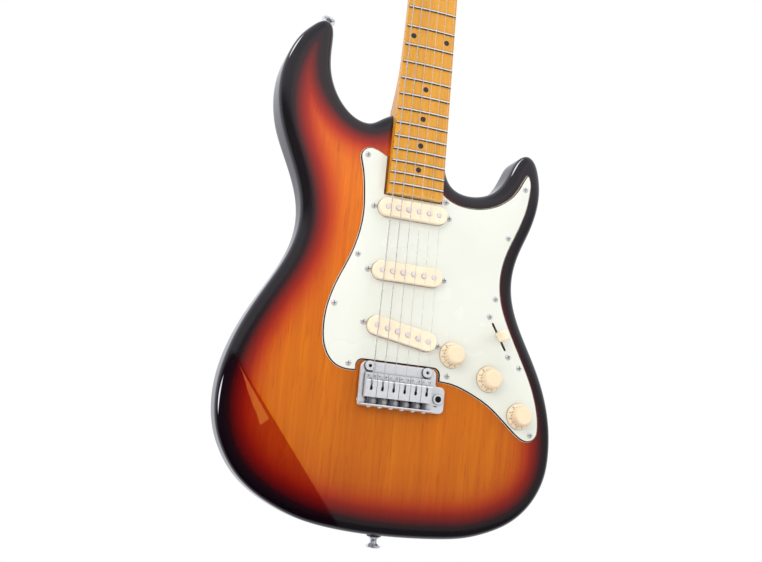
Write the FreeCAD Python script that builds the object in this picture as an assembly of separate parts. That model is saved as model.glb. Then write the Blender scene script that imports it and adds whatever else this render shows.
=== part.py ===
import FreeCAD, Part
import math
import os
from FreeCAD import Vector

# Electric guitar: double-cutaway solid body, bolt-on neck, three single-coil
# pickups and a two-post tremolo.  Millimetres.
# X runs to the treble side, Y from the face towards the back, Z along the neck.
# Y = 0 is the face of the body, Z = 0 the bridge end of the scale.
# On export everything moves so that Y = 0 is mid-body and Z = 0 the end button's rim.

# ---------------------------------------------------------------- dimensions
SIDES = (-1, 1)
STRINGS = range(6)             # 0 is the thickest, on the bass side

SCALE_LENGTH = 648.0
FRET_COUNT = 22
FRET_HEIGHT = 1.1
BODY_THICKNESS = 44.5
EDGE_RADIUS = 10.0
HEEL_END = 172.5               # end of the neck in its pocket
HEEL_FRONT = 262.0             # where the body lets go of the neck
POCKET_DEPTH = 16.0
BOARD_HEIGHT = 10.2            # fingerboard crown above the face
BOARD_RADIUS = 305.0
NUT_WIDTH = 42.0
NUT_THICKNESS = 3.3
HEEL_WIDTH = 55.6
GUARD_THICKNESS = 2.3
GUARD_TOP = -GUARD_THICKNESS
COVER_THICKNESS = 1.8
NECK_PLATE_THICKNESS = 2.0

BRIDGE_PITCH = 10.8
NUT_PITCH = 7.0
STRING_RADII = [0.53, 0.41, 0.31, 0.215, 0.165, 0.13]
STRING_HEIGHT = 13.6           # underside of the strings at the saddles
SADDLE_X = [(k - 2.5) * BRIDGE_PITCH for k in STRINGS]
NUT_X = [(k - 2.5) * NUT_PITCH for k in STRINGS]

PICKUPS = [("neck", 158.0, 0.0), ("middle", 96.4, 0.0), ("bridge", 39.2, 0.179)]  # z, angle
PICKUP_SCREW_X = 38.5
POLE_PITCH = 10.42
COVER_TOP = -8.6               # top of the pickup covers
SWITCH_X, SWITCH_Z = 100.15, 49.7
SWITCH_ANGLE = math.atan2(24.6, 15.1)
SWITCH_SCREW_X = 21.5          # in the switch's own frame
KNOBS = [("volume", 52.8, 25.7), ("tone_neck", 92.5, 7.3), ("tone_middle", 126.6, -24.6)]

STUD_X, STUD_Z = 28.3, 5.5
ARM_X, ARM_Z = 41.3, -17.8
PLATE_TOP = -5.2
PLATE_UNDER = PLATE_TOP + 2.3
BLOCK_STRING_Z = -16.0
BLOCK_SCREW_X = (-24, 0, 24)
BLOCK_SCREW_Z = -19.3
SPRING_X = (-18, 0, 18)
CLAW_Z = 101.0
CLAW_Y = 34.0
CLAW_SCREW_X = 9.0
END_BUTTON_RIM_Z = -157.0      # middle of the rim of the end strap button

HEAD_FACE = -0.7               # face of the headstock
HEAD_THICKNESS = 14.0
HEAD_BACK = HEAD_FACE + HEAD_THICKNESS
HEAD_START = 650.0
TUNER_PITCH = 25.4
TUNERS = [(NUT_X[k] - 3.4 + 0.4 * k, 689.0 + TUNER_PITCH * k) for k in STRINGS]  # x, z
POST_RADIUS = 3.0
POST_WAIST = 2.45
WORM_Y = HEAD_BACK + 4.6
WORM_DZ = 7.0                  # worm axis from the post axis
TREES = [((NUT_X[2] + NUT_X[3]) / 2, 722.0), ((NUT_X[4] + NUT_X[5]) / 2, 706.0)]  # x, z
TREE_TOP = HEAD_FACE - 8.2
TREE_UNDER = HEAD_FACE - 6.6

BOLTS = [(sx * 17.5, 208 + sz * 24) for sx in SIDES for sz in SIDES]  # x, z
ROD_Y = 3.6                    # truss rod axis

# ------------------------------------------------------- outlines, (x, z) each
# Body, clockwise with X to the right and Z up.
BODY_POINTS = [
    (-14.7, -146.1), (-48.5, -143.0), (-75.2, -137.7), (-99.3, -128.5), (-120.7, -116.5),
    (-137.6, -102.0), (-150.4, -84.3), (-159.2, -64.4), (-163.3, -42.6), (-163.0, -19.1),
    (-158.2, 5.5), (-148.9, 31.7), (-135.0, 60.2), (-119.7, 88.8), (-110.3, 112.1),
    (-106.6, 133.6), (-108.3, 155.3), (-115.4, 178.7), (-127.5, 207.4), (-136.7, 233.8),
    (-140.5, 257.3), (-139.6, 279.7), (-134.0, 300.6), (-125.2, 317.9), (-115.6, 328.8),
    (-109.2, 333.9), (-102.8, 335.8), (-96.9, 332.7), (-94.2, 325.8), (-93.7, 315.0),
    (-93.6, 300.0), (-91.5, 284.4), (-84.5, 266.4), (-74.0, 252.5), (-61.5, 243.9),
    (-47.9, 242.2), (-35.7, 249.1), (-22.1, 256.0), (-4.7, 257.4), (12.0, 256.3),
    (25.6, 251.0), (32.2, 238.5), (33.3, 222.0), (34.6, 205.6), (42.9, 192.5),
    (56.2, 187.7), (71.4, 188.7), (86.0, 194.9), (97.5, 207.0), (105.0, 222.0),
    (108.8, 230.2), (113.6, 236.6), (120.6, 239.9), (127.6, 237.0), (132.4, 230.2),
    (135.1, 222.0), (137.6, 205.7), (136.2, 185.1), (129.5, 161.4), (119.6, 136.3),
    (114.5, 114.5), (114.9, 93.7), (121.0, 72.6), (133.1, 48.2), (148.4, 19.8),
    (158.7, -5.9), (164.5, -30.8), (166.1, -55.4), (163.7, -77.4), (156.4, -96.5),
    (144.6, -113.0), (128.8, -126.1), (108.7, -135.8), (84.9, -142.7), (57.1, -145.8),
    (22.2, -146.9)]
# The outline is split into separate edges here.
BODY_SPLITS = [(-163, -19), (-134.0, 300.6), (-93.6, 300.0), (105.0, 222.0),
               (137.6, 205.7), (114.5, 114.5), (158.7, -5.9)]
CONTROL_CAVITY = [
    (39.5, 41), (39.5, 13.5), (62, 10.5), (84, -8.5), (98, -13), (110, -22), (117, -34.5),
    (127, -38.2), (137, -35), (141, -24), (139, -12), (130, 2), (120.5, 16), (119.5, 36),
    (108.5, 58), (98.5, 76), (84.5, 76), (73, 52), (60, 44)]

# Guard, bass side from the neck to the bridge and treble side back to the neck.
GUARD_LEFT = [
    (-28.5, 209.0), (-34.0, 211.8), (-40.3, 214.3), (-47.0, 215.3), (-53.3, 212.3),
    (-56.3, 206.1), (-54.9, 198.4), (-52.1, 187.2), (-49.8, 169.8), (-48.6, 155.0),
    (-49.5, 137.8), (-52.5, 122.2), (-58.5, 103.1), (-66.3, 84.2), (-71.7, 68.1),
    (-75.0, 52.1), (-75.7, 38.0), (-73.7, 21.9), (-68.1, 10.0), (-60.3, 2.9),
    (-52.0, 0.1), (-39.6, 0.0)]
GUARD_RIGHT = [
    (41.6, -1.4), (55.3, -2.6), (69.7, -6.9), (84.4, -13.3), (97.5, -20.9),
    (109.5, -30.3), (120.1, -39.2), (129.2, -45.8), (137.2, -48.3), (143.1, -46.6),
    (147.2, -42.5), (148.6, -35.8), (146.3, -16.7), (141.0, 0.4), (134.0, 16.1),
    (123.3, 35.9), (112.7, 55.6), (104.0, 74.3), (99.5, 89.9), (98.2, 107.0),
    (100.2, 122.2), (105.0, 137.8), (110.9, 151.8), (117.8, 169.7), (122.1, 185.0),
    (124.0, 199.9), (122.8, 213.7), (119.9, 217.6), (116.7, 213.8), (106.8, 195.6),
    (94.5, 184.0), (77.9, 175.8), (60.0, 173.0), (45.2, 174.6), (34.0, 179.6),
    (28.5, 184.5)]
GUARD_SCREWS = [(-49.4, 207.0), (-49.5, 109.1), (-67.4, 59.7), (-48.1, 6.2),
                (34.2, 173.6), (117.4, 201.6), (102.7, 148.8), (93.7, 86.1),
                (123.8, 22.0), (140.0, -41.2), (49.6, 5.3)]
COVER_SCREWS = [(x, z) for z in (116, 36, -44) for x in (-37, 37)]

# Headstock, bass side up to the straight tuner edge, then round the tip and down.
HEAD_LEFT = [(-21.4, 650), (-24.0, 660.5), (-30.0, 669.5), (-34.4, 677.5)]
HEAD_RIGHT = [
    (7.4, 821.0), (11.0, 832.5), (19.5, 840.5), (30.0, 841.0), (38.2, 834.0), (41.5, 820.0),
    (41.0, 800.0), (37.5, 768.0), (32.7, 735.0), (28.0, 705.0), (24.3, 680.0), (22.0, 664.0),
    (21.4, 650)]

# Neck shaft sections: z, y of the back, depth of the straight side, superellipse power.
NECK_STATIONS = [
    (258.0, 16.0, 19.5, 5.0), (265.0, 15.9, 17.5, 4.6), (273.0, 15.4, 13.5, 3.6),
    (283.0, 14.6, 9.5, 2.9), (296.0, 13.7, 6.5, 2.4), (315.0, 13.0, 5.0, 2.2),
    (400.0, 12.5, 4.6, 2.15), (500.0, 11.8, 4.4, 2.1), (590.0, 11.0, 4.2, 2.1),
    (640.0, 10.8, 4.2, 2.1), (652.5, 10.9, 4.2, 2.1)]


# ------------------------------------------------------------------- helpers
def box(x0, x1, y0, y1, z0, z1):
    return Part.makeBox(x1 - x0, y1 - y0, z1 - z0, Vector(x0, y0, z0))


def rod(radius, length, start, direction):
    return Part.makeCylinder(radius, length, Vector(*start), Vector(*direction))


def z_rod(radius, length, x, y, z):
    return rod(radius, length, (x, y, z), (0, 0, 1))


def y_rod(radius, x, z, y0, y1):
    return rod(radius, y1 - y0, (x, y0, z), (0, 1, 0))


def y_cone(r0, r1, x, z, y0, y1):
    return Part.makeCone(r0, r1, y1 - y0, Vector(x, y0, z), Vector(0, 1, 0))


def largest(shape):
    return max(shape.Solids, key=lambda solid: solid.Volume)


def fuse(shapes):
    joined = shapes[0].multiFuse(shapes[1:]).removeSplitter()
    return joined.Solids[0] if len(joined.Solids) == 1 else joined


def group(shapes):
    return Part.makeCompound([solid for shape in shapes for solid in shape.Solids])


def polygon_face(points):
    return Part.Face(Part.makePolygon(points + [points[0]]))


def lines(points):
    """Straight edges joining consecutive vectors."""
    return [Part.makeLine(a, b) for a, b in zip(points[:-1], points[1:])]


def plan(points, y=0.0):
    return [Vector(x, y, z) for x, z in points]


def prism(points, y0, y1):
    """Extruded polygon given in X and Z."""
    return polygon_face(plan(points, y0)).extrude(Vector(0, y1 - y0, 0))


def spline(points, y=0.0):
    curve = Part.BSplineCurve()
    curve.interpolate(plan(points, y))
    return curve.toShape()


def place(shape, x, z, angle):
    """Turn about Y so that local X points to (cos, -sin) in X, Z, then move."""
    shape = shape.copy()
    shape.rotate(Vector(0, 0, 0), Vector(0, 1, 0), math.degrees(angle))
    shape.translate(Vector(x, 0, z))
    return shape


def slot(half, radius, y0, y1, x=0, z=0, angle=0.0):
    """Round-ended slot; half runs from its centre to each end centre."""
    bar = box(-half, half, y0, y1, -radius, radius)
    bar = bar.fuse([y_rod(radius, sx * half, 0, y0, y1) for sx in SIDES])
    return place(bar.removeSplitter(), x, z, angle)


def revolve_y(profile, x, z):
    """Solid of revolution about the Y line through x, z; profile is (radius, y)."""
    face = polygon_face([Vector(r, y, 0) for r, y in profile])
    solid = face.revolve(Vector(0, 0, 0), Vector(0, 1, 0), 360)
    solid.translate(Vector(x, 0, z))
    return solid


def revolve_z(profile):
    """Solid of revolution about the Z axis; profile is (radius, z)."""
    face = polygon_face([Vector(r, 0, z) for r, z in profile])
    return face.revolve(Vector(0, 0, 0), Vector(0, 0, 1), 360)


def aim(shape, position, direction):
    """Move a shape built along +Z at the origin to position, with +Z along direction."""
    shape = shape.copy()
    turn = FreeCAD.Rotation(Vector(0, 0, 1), Vector(*direction))
    shape.Placement = FreeCAD.Placement(Vector(*position), turn)
    return shape


def hexagon(radius, height):
    corners = [Vector(radius * math.cos(math.pi / 3 * k), radius * math.sin(math.pi / 3 * k), 0)
               for k in range(6)]
    return polygon_face(corners).extrude(Vector(0, 0, height))


def screw(position, direction, shank_r, length, head_r, head_h):
    """Domed screw: head above position along direction, shank below, cross recess."""
    dome_r = (head_r ** 2 + head_h ** 2) / (2 * head_h)
    ball = Part.makeSphere(dome_r, Vector(0, 0, head_h - dome_r))
    head = Part.makeCylinder(head_r, head_h + 1).common(ball)
    head = head.common(box(-head_r, head_r, -head_r, head_r, 0, head_h + 1))
    solid = head.fuse(rod(shank_r, length, (0, 0, 0), (0, 0, -1)))
    half_w, half_l = head_r * 0.11, head_r * 0.62
    floor = head_h - head_h * 0.75
    solid = solid.cut([box(-half_w, half_w, -half_l, half_l, floor, head_h + 1),
                       box(-half_l, half_l, -half_w, half_w, floor, head_h + 1)])
    solid = solid.removeSplitter().Solids[0]
    solid.rotate(Vector(0, 0, 0), Vector(0, 0, 1), 31)
    return aim(solid, position, direction)


def ridged_sleeve(r_in, r_out, length, turns):
    """Compression spring as a sleeve with one ridge per turn, along +Z."""
    pitch = length / turns
    root = r_out - 0.3
    profile = [(r_in, 0)]
    for i in range(turns):
        z = i * pitch
        profile += [(root, z), (r_out, z + 0.3 * pitch),
                    (r_out, z + 0.6 * pitch), (root, z + 0.9 * pitch)]
    return revolve_z(profile + [(root, length), (r_in, length)])


def edges_at(edges, axis, *levels):
    """Edges whose ends all lie on one of the levels of an axis."""
    return [e for e in edges
            if any(all(abs(getattr(v.Point, axis) - level) < 1e-6 for v in e.Vertexes)
                   for level in levels)]


def edges_over(edges, axis, least):
    """Edges whose ends are more than least apart along an axis."""
    return [e for e in edges
            if abs(getattr(e.Vertexes[0].Point, axis) - getattr(e.Vertexes[-1].Point, axis))
            > least]


def edges_above(edges, y):
    """Edges whose ends all have a smaller Y."""
    return [e for e in edges if all(v.Point.y < y for v in e.Vertexes)]


def half_width(z):
    """Half the width of the fingerboard at z."""
    taper = (SCALE_LENGTH - z) * (HEEL_WIDTH - NUT_WIDTH) / (SCALE_LENGTH - HEEL_END)
    return 0.5 * (NUT_WIDTH + taper)


def board_y(x):
    """Y of the fingerboard surface at x."""
    return -BOARD_HEIGHT + BOARD_RADIUS - math.sqrt(BOARD_RADIUS ** 2 - x * x)


def board_cylinder(z=150, rise=0.0):
    """Cylinder whose surface is the fingerboard crown, lifted by rise."""
    return z_rod(BOARD_RADIUS, 520, 0, BOARD_RADIUS - BOARD_HEIGHT - rise, z)


def fret_z(n):
    return SCALE_LENGTH * 2.0 ** (-n / 12.0)


# ------------------------------------------------- places that pieces share
outline = Part.BSplineCurve()
outline.interpolate(plan(BODY_POINTS), PeriodicFlag=True)


def rim_at(x, z):
    """Point, tangent and outward normal of the body outline nearest to x, z."""
    u = outline.parameter(Vector(x, 0, z))
    tangent = outline.tangent(u)[0]
    tangent.normalize()
    return outline.value(u), tangent, Vector(-tangent.z, 0, tangent.x)


# Strap buttons: seat and outward direction, at the tail and on the bass horn.
horn_point, _, horn_out = rim_at(-100.6, 335.3)
horn_seat = horn_point - horn_out * 0.9
horn_seat.y = BODY_THICKNESS / 2
BUTTON_SEATS = [
    (Vector(0, BODY_THICKNESS / 2, END_BUTTON_RIM_Z + 10.35), Vector(0, 0, -1)),
    (horn_seat, horn_out)]

jack_point, jack_along, jack_out = rim_at(156.4, -96.5)
jack_base = Vector(jack_point.x, BODY_THICKNESS / 2, jack_point.z) - jack_out * 2.8
JACK_SCREW_X = 14.2


def on_jack(shape):
    """Local +Z points out of the rim, X along the rim, Y through the body."""
    frame = FreeCAD.Matrix(jack_along.x, 0, jack_out.x, jack_base.x,
                           0, 1, 0, jack_base.y,
                           jack_along.z, 0, jack_out.z, jack_base.z,
                           0, 0, 0, 1)
    shape = shape.copy()
    shape.Placement = FreeCAD.Placement(frame).multiply(shape.Placement)
    return shape


def on_switch(shape):
    return place(shape, SWITCH_X, SWITCH_Z, SWITCH_ANGLE)


# Fret markers: (x, z) on the board and z along the bass edge, doubled at fret 12.
face_dots, side_dots = [], []
for n in (3, 5, 7, 9, 12, 15, 17, 19, 21):
    z = (fret_z(n) + fret_z(n - 1)) / 2
    face_dots += [(x, z) for x in ((-17.4, 17.4) if n == 12 else (0.0,))]
    side_dots += [z + dz for dz in ((-4, 4) if n == 12 else (0,))]

# Headstock screws: position, direction, shank length, pilot depth.
head_screws = [(Vector(x, HEAD_BACK + 1.6, z - 9.2), Vector(0, 1, 0), 9.0, 11)
               for x, z in TUNERS]
head_screws += [(Vector(x, TREE_TOP, z), Vector(0, -1, 0), 17.0, 18) for x, z in TREES]

# Underside of the strings over the nut, 0.55 clear of the fret height.
nut_y = [-BOARD_HEIGHT - FRET_HEIGHT - 0.55 + (board_y(x) + BOARD_HEIGHT) for x in NUT_X]


# ---------------------------------------------------------------------- body
def body_blank():
    """Extruded outline with rounded rims."""
    cuts = sorted(outline.parameter(point) for point in plan(BODY_SPLITS))
    cuts = [outline.FirstParameter] + cuts + [outline.LastParameter]
    edges = []
    for a, b in zip(cuts[:-1], cuts[1:]):
        piece = outline.copy()
        piece.segment(a, b)
        edges.append(piece.toShape())
    blank = Part.Face(Part.Wire(edges)).extrude(Vector(0, BODY_THICKNESS, 0))
    return blank.makeFillet(EDGE_RADIUS, edges_at(blank.Edges, "y", 0, BODY_THICKNESS))


def forearm_bevel():
    """Cutter for the lower bass side of the face: an arc easing into a slope."""
    start = Vector(-101.5, 0, -64.0)
    along = Vector(0.62, 0, -0.785)
    along.normalize()
    outward = Vector(along.z, 0, -along.x)
    slope = math.radians(12.0)
    radius = 30.0

    def point(angle, run=0.0):
        across = (radius * (math.sin(angle) - math.tan(slope / 2)) + run * math.cos(slope))
        depth = radius * (1 - math.cos(angle)) + run * math.sin(slope)
        return start + outward * across + Vector(0, depth - 0.05, 0)

    inner, tangent, outer = point(0), point(slope), point(slope, 120)
    arc = Part.Arc(inner, point(slope / 2), tangent).toShape()
    sides = lines([tangent, outer, Vector(outer.x, -30, outer.z),
                   Vector(inner.x, -30, inner.z), inner])
    cutter = Part.Face(Part.Wire([arc] + sides)).extrude(along * 400)
    cutter.translate(along * -200)
    return cutter


def body_cavities():
    back = BODY_THICKNESS + 1       # cutters overrun the back by 1
    # neck pocket, open towards the headstock
    end_w, front_w = half_width(HEEL_END) + 0.12, half_width(HEEL_FRONT) + 0.12
    tools = [prism([(-end_w, HEEL_END - 0.05), (end_w, HEEL_END - 0.05),
                    (front_w, HEEL_FRONT), (-front_w, HEEL_FRONT)], -5, POCKET_DEPTH)]
    for _, z, angle in PICKUPS:
        tools.append(place(box(-46, 46, -1, 19, -12.5, 12.5), 0, z, angle))
    tools.append(prism(CONTROL_CAVITY, -1, 36))
    # wire channel between the pickup pockets
    tools.append(box(-10, 10, -1, 12, 36, 150))
    # tremolo block and spring cavities
    tools.append(box(-36.2, 36.2, -1, 13, -28.6, -4.5))
    tools.append(box(-36.2, 36.2, 12, back, -38, -4.5))
    tools.append(box(-36.2, 36.2, 27, back, -5, 118))
    tools.append(y_rod(6.6, ARM_X, ARM_Z, -1, 12))
    tools += [y_rod(4.8, sx * STUD_X, STUD_Z, -1, 22) for sx in SIDES]
    tools += [y_rod(2.6, x, z, POCKET_DEPTH - 1, back) for x, z in BOLTS]
    tools += [y_rod(1.35, x, z, -1, 11.5) for x, z in GUARD_SCREWS]
    tools += [y_rod(1.35, x, z, BODY_THICKNESS - 11.5, back) for x, z in COVER_SCREWS]
    tools += [z_rod(2.05, 42, sx * CLAW_SCREW_X, CLAW_Y, 117) for sx in SIDES]
    # strap button pilots and flat seats
    for seat, out in BUTTON_SEATS:
        tools.append(rod(1.95, 32, seat, out * -1))
        tools.append(rod(7.0, 6, seat, out))
    # jack: flat seat, bore, two small holes and the wire hole to the control cavity
    tools.append(on_jack(box(-20.6, 20.6, -11.6, 11.6, 0, 20)))
    tools.append(on_jack(rod(11.5, 36, (0, 0, 0.5), (0, 0, -1))))
    tools += [on_jack(rod(1.35, 12, (sx * 16, 0, 0.5), (0, 0, -1))) for sx in SIDES]
    wire_start = jack_base - jack_out * 30
    wire_run = Vector(131, 20, -30) - wire_start
    tools.append(rod(4, wire_run.Length, wire_start, wire_run))
    return tools


def make_body():
    body = body_blank().cut(forearm_bevel())
    # belly cut on the bass side of the back
    body = body.cut(Part.makeSphere(260, Vector(-160, 288.4, 138)))
    body = largest(body.cut(body_cavities()))
    pilots = [on_jack(rod(1.35, 13, (sx * JACK_SCREW_X, 0, 0.5), (0, 0, -1))) for sx in SIDES]
    return largest(body.cut(pilots))


# ---------------------------------------------------------------------- neck
def neck_section(z, back, side, power):
    """Crowned top, straight sides and a superellipse back."""
    a = half_width(z)
    y_edge = board_y(a)
    y_side = y_edge + side
    arc = Part.Arc(Vector(-a, y_edge, z), Vector(0, -BOARD_HEIGHT, z), Vector(a, y_edge, z))
    points = []
    steps = 18
    for k in range(steps + 1):
        angle = math.pi * k / steps
        c, s = math.cos(angle), (0.0 if k in (0, steps) else math.sin(angle))
        points.append(Vector(a * math.copysign(abs(c) ** (2.0 / power), c),
                             y_side + (back - y_side) * abs(s) ** (2.0 / power), z))
    curve = Part.BSplineCurve()
    curve.interpolate(points)
    return Part.Wire([arc.toShape(),
                      Part.makeLine(Vector(a, y_edge, z), Vector(a, y_side, z)),
                      curve.toShape(),
                      Part.makeLine(Vector(-a, y_side, z), Vector(-a, y_edge, z))])


def neck_loft(stations):
    return Part.makeLoft([neck_section(*station) for station in stations], True, False)


def make_heel():
    end_w, front_w = half_width(HEEL_END), half_width(HEEL_FRONT)
    heel = prism([(-end_w, HEEL_END), (end_w, HEEL_END),
                  (front_w, HEEL_FRONT), (-front_w, HEEL_FRONT)], -20, POCKET_DEPTH)
    heel = heel.common(board_cylinder())
    low = edges_over(edges_at(heel.Edges, "y", POCKET_DEPTH), "z", 10)
    return heel.makeFillet(2.5, low)


def make_headstock():
    left, right = plan(HEAD_LEFT, HEAD_FACE), plan(HEAD_RIGHT, HEAD_FACE)
    wire = Part.Wire([spline(HEAD_LEFT, HEAD_FACE), Part.makeLine(left[-1], right[0]),
                      spline(HEAD_RIGHT, HEAD_FACE), Part.makeLine(right[-1], left[0])])
    head = Part.Face(wire).extrude(Vector(0, HEAD_THICKNESS, 0))
    rim = [e for e in edges_at(head.Edges, "y", HEAD_FACE, HEAD_BACK)
           if not edges_at([e], "z", HEAD_START)]
    # guards the fillet: the rim stays sharp if it can't be rounded
    try:
        head = head.makeFillet(1.5, rim)
    except Exception:
        pass
    return head


def make_neck_blank():
    shaft = neck_loft(NECK_STATIONS)
    heel = make_heel()
    head = make_headstock()
    # ramp from the fingerboard end down to the headstock face
    ramp = prism([(-21.3, HEAD_START), (21.3, HEAD_START), (21.9, 668), (-23.5, 668)],
                 -14, HEAD_FACE + 1).common(board_cylinder())
    ramp = ramp.cut(rod(19.0, 80, (-40, HEAD_FACE - 19.0, 671.5), (1, 0, 0)))
    # chin blending the back of the neck into the headstock
    chin = neck_loft([(646.0, 10.85, 4.2, 2.1), (664.0, 13.2, 5.0, 3.0)])
    chin = chin.common(box(-30, 30, HEAD_FACE + 0.5, 20, 640, 668))
    return largest(shaft.multiFuse([heel, head, ramp, chin]).removeSplitter())


def make_neck(blank):
    # nut slot, then fret slots
    cuts = [box(-25, 25, -20, -BOARD_HEIGHT + 2.6, SCALE_LENGTH, SCALE_LENGTH + NUT_THICKNESS)]
    for n in range(1, FRET_COUNT + 1):
        cuts.append(box(-32, 32, -20, -BOARD_HEIGHT + 4.4, fret_z(n) - 0.27, fret_z(n) + 0.27))
    cuts += [y_rod(2.75, x, z, -20, -BOARD_HEIGHT + 1.8) for x, z in face_dots]
    for z in side_dots:
        a = half_width(z)
        cuts.append(rod(0.95, 5, (-a - 3, board_y(a) + 2.4, z), (1, 0, 0)))
    cuts += [y_rod(4.95, x, z, HEAD_FACE - 5, HEAD_BACK + 5) for x, z in TUNERS]
    cuts += [y_rod(2.05, x, z, -5, POCKET_DEPTH + 1) for x, z in BOLTS]
    # truss rod bore and the channel of the filler strip
    cuts.append(z_rod(3.05, 460, 0, ROD_Y, 171))
    cuts.append(box(-3.2, 3.2, 6.6, 20, 285, 610))
    neck = largest(blank.cut(cuts))
    pilots = [rod(1.15, depth, position, direction * -1)
              for position, direction, _, depth in head_screws]
    return largest(neck.cut(pilots))


def make_filler_strip(blank):
    """Strip in the back of the neck, flush with the uncut neck."""
    return largest(box(-3.2, 3.2, 7.2, 20, 285, 610).common(blank))


def make_truss_rod():
    return fuse([z_rod(2.5, 452, 0, ROD_Y, 175), z_rod(2.95, 12, 0, ROD_Y, 174),
                 z_rod(2.95, 8, 0, ROD_Y, 619)])


def make_fret(n):
    """Crown and tang, swept round the fingerboard radius."""
    z = fret_z(n)
    sweep = math.degrees(math.asin((half_width(z) - 0.35) / BOARD_RADIUS))
    half_w, half_tang = 1.2, 0.24
    seat, tang_end = -(BOARD_HEIGHT + 0.015), -BOARD_HEIGHT + 1.9
    arc = Part.Arc(Vector(0, seat, z - half_w), Vector(0, -BOARD_HEIGHT - FRET_HEIGHT, z),
                   Vector(0, seat, z + half_w)).toShape()
    under = lines([Vector(0, seat, z + half_w), Vector(0, seat, z + half_tang),
                   Vector(0, tang_end, z + half_tang), Vector(0, tang_end, z - half_tang),
                   Vector(0, seat, z - half_tang), Vector(0, seat, z - half_w)])
    face = Part.Face(Part.Wire([arc] + under))
    axis = Vector(0, BOARD_RADIUS - BOARD_HEIGHT, z)
    face.rotate(axis, Vector(0, 0, 1), -sweep)
    return face.revolve(axis, Vector(0, 0, 1), 2 * sweep)


def make_fret_markers():
    marks = [y_rod(2.72, x, z, -20, -BOARD_HEIGHT + 1.78).common(board_cylinder())
             for x, z in face_dots]
    for z in side_dots:
        a = half_width(z)
        marks.append(rod(0.93, 1.85, (-a, board_y(a) + 2.4, z), (1, 0, 0)))
    return group(marks)


def make_nut():
    nut = box(-20.95, 20.95, -20, -BOARD_HEIGHT + 2.58,
              SCALE_LENGTH + 0.03, SCALE_LENGTH + NUT_THICKNESS - 0.03)
    nut = nut.common(board_cylinder(400, 2.7))
    slots = []
    for x, under, string_r in zip(NUT_X, nut_y, STRING_RADII):
        r = string_r + 0.03
        axis_y = under - string_r
        slots.append(z_rod(r, 6, x, axis_y, SCALE_LENGTH - 1))
        slots.append(box(x - r, x + r, -20, axis_y, SCALE_LENGTH - 1, SCALE_LENGTH + 5))
    return largest(nut.cut(slots))


# --------------------------------------------------------------------- tuners
def tuner_bushing(k):
    """Bushing with a hexagonal flange on the headstock face."""
    x, z = TUNERS[k]
    flange = hexagon(6.6, 1.6)
    flange.rotate(Vector(0, 0, 0), Vector(0, 0, 1), 17 * k)
    flange = aim(flange, (x, HEAD_FACE, z), (0, -1, 0))
    bushing = flange.fuse(y_rod(4.9, x, z, HEAD_FACE, HEAD_FACE + 11))
    bushing = bushing.cut(y_rod(3.1, x, z, HEAD_FACE - 5, HEAD_FACE + 12))
    return bushing.removeSplitter().Solids[0]


def tuner_housing(x, z):
    """Closed gear housing on the back, with a screw tab."""
    case = box(x - 8.0, x + 8.0, HEAD_BACK, HEAD_BACK + 9.4, z - 7.0, z + 11.5)
    rounded = [e for e in case.Edges
               if all(v.Point.y > HEAD_BACK + 1 for v in e.Vertexes) or edges_over([e], "y", 5)]
    case = case.makeFillet(2.0, rounded)
    case = case.fuse(box(x - 2.6, x + 2.6, HEAD_BACK, HEAD_BACK + 1.6, z - 11.0, z))
    case = case.cut([y_rod(3.1, x, z, HEAD_BACK - 1, HEAD_BACK + 2),
                     y_rod(5.2, x, z, HEAD_BACK + 1.4, HEAD_BACK + 7.8),
                     rod(2.3, 14.3, (x - 7.0, WORM_Y, z + WORM_DZ), (1, 0, 0)),
                     rod(1.75, 6, (x - 9.0, WORM_Y, z + WORM_DZ), (1, 0, 0)),
                     y_rod(1.2, x, z - 9.2, HEAD_BACK - 1, HEAD_BACK + 3)])
    return largest(case.removeSplitter())


def tuner_post(x, z):
    """Slotted, waisted string post with its worm wheel inside the housing."""
    front, back = HEAD_FACE, HEAD_BACK
    post = revolve_y([
        (0, front - 17.5), (2.6, front - 17.5), (POST_RADIUS, front - 17.0),
        (POST_RADIUS, front - 11.5), (POST_WAIST, front - 10.3), (POST_WAIST, front - 6.6),
        (POST_RADIUS, front - 5.2), (POST_RADIUS, back + 1.5), (4.6, back + 1.5),
        (4.6, back + 7.6), (0, back + 7.6)], x, z)
    post = post.cut(box(x - 0.75, x + 0.75, front - 18, front - 14.6, z - 4, z + 4))
    return post.removeSplitter().Solids[0]


def tuner_button(x, z):
    """Worm shaft with its button."""
    y, z = WORM_Y, z + WORM_DZ
    shaft = rod(2.2, 13.6, (x - 6.6, y, z), (1, 0, 0))
    shaft = shaft.fuse(rod(1.7, 10.0, (x - 15.6, y, z), (1, 0, 0)))
    shaft = shaft.fuse(rod(3.2, 2.2, (x - 11.6, y, z), (1, 0, 0)))
    pad = box(x - 26.5, x - 13.0, y - 3.1, y + 3.1, z - 8.8, z + 8.8)
    pad = pad.makeFillet(4.8, edges_over(pad.Edges, "y", 3))
    pad = pad.makeFillet(1.9, edges_at(pad.Edges, "y", y + 3.1, y - 3.1))
    return shaft.fuse(pad).removeSplitter().Solids[0]


def string_tree(x, z):
    """Bar on a post, holding two strings down."""
    tree = box(x - 6.0, x + 6.0, TREE_TOP, TREE_UNDER, z - 3.2, z + 3.2)
    tree = tree.makeFillet(0.7, edges_above(tree.Edges, TREE_TOP + 0.1))
    tree = tree.fuse(y_rod(2.4, x, z, TREE_UNDER - 0.1, HEAD_FACE))
    tree = tree.cut(y_rod(1.25, x, z, HEAD_FACE - 10, HEAD_FACE + 1))
    return tree.removeSplitter().Solids[0]


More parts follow.
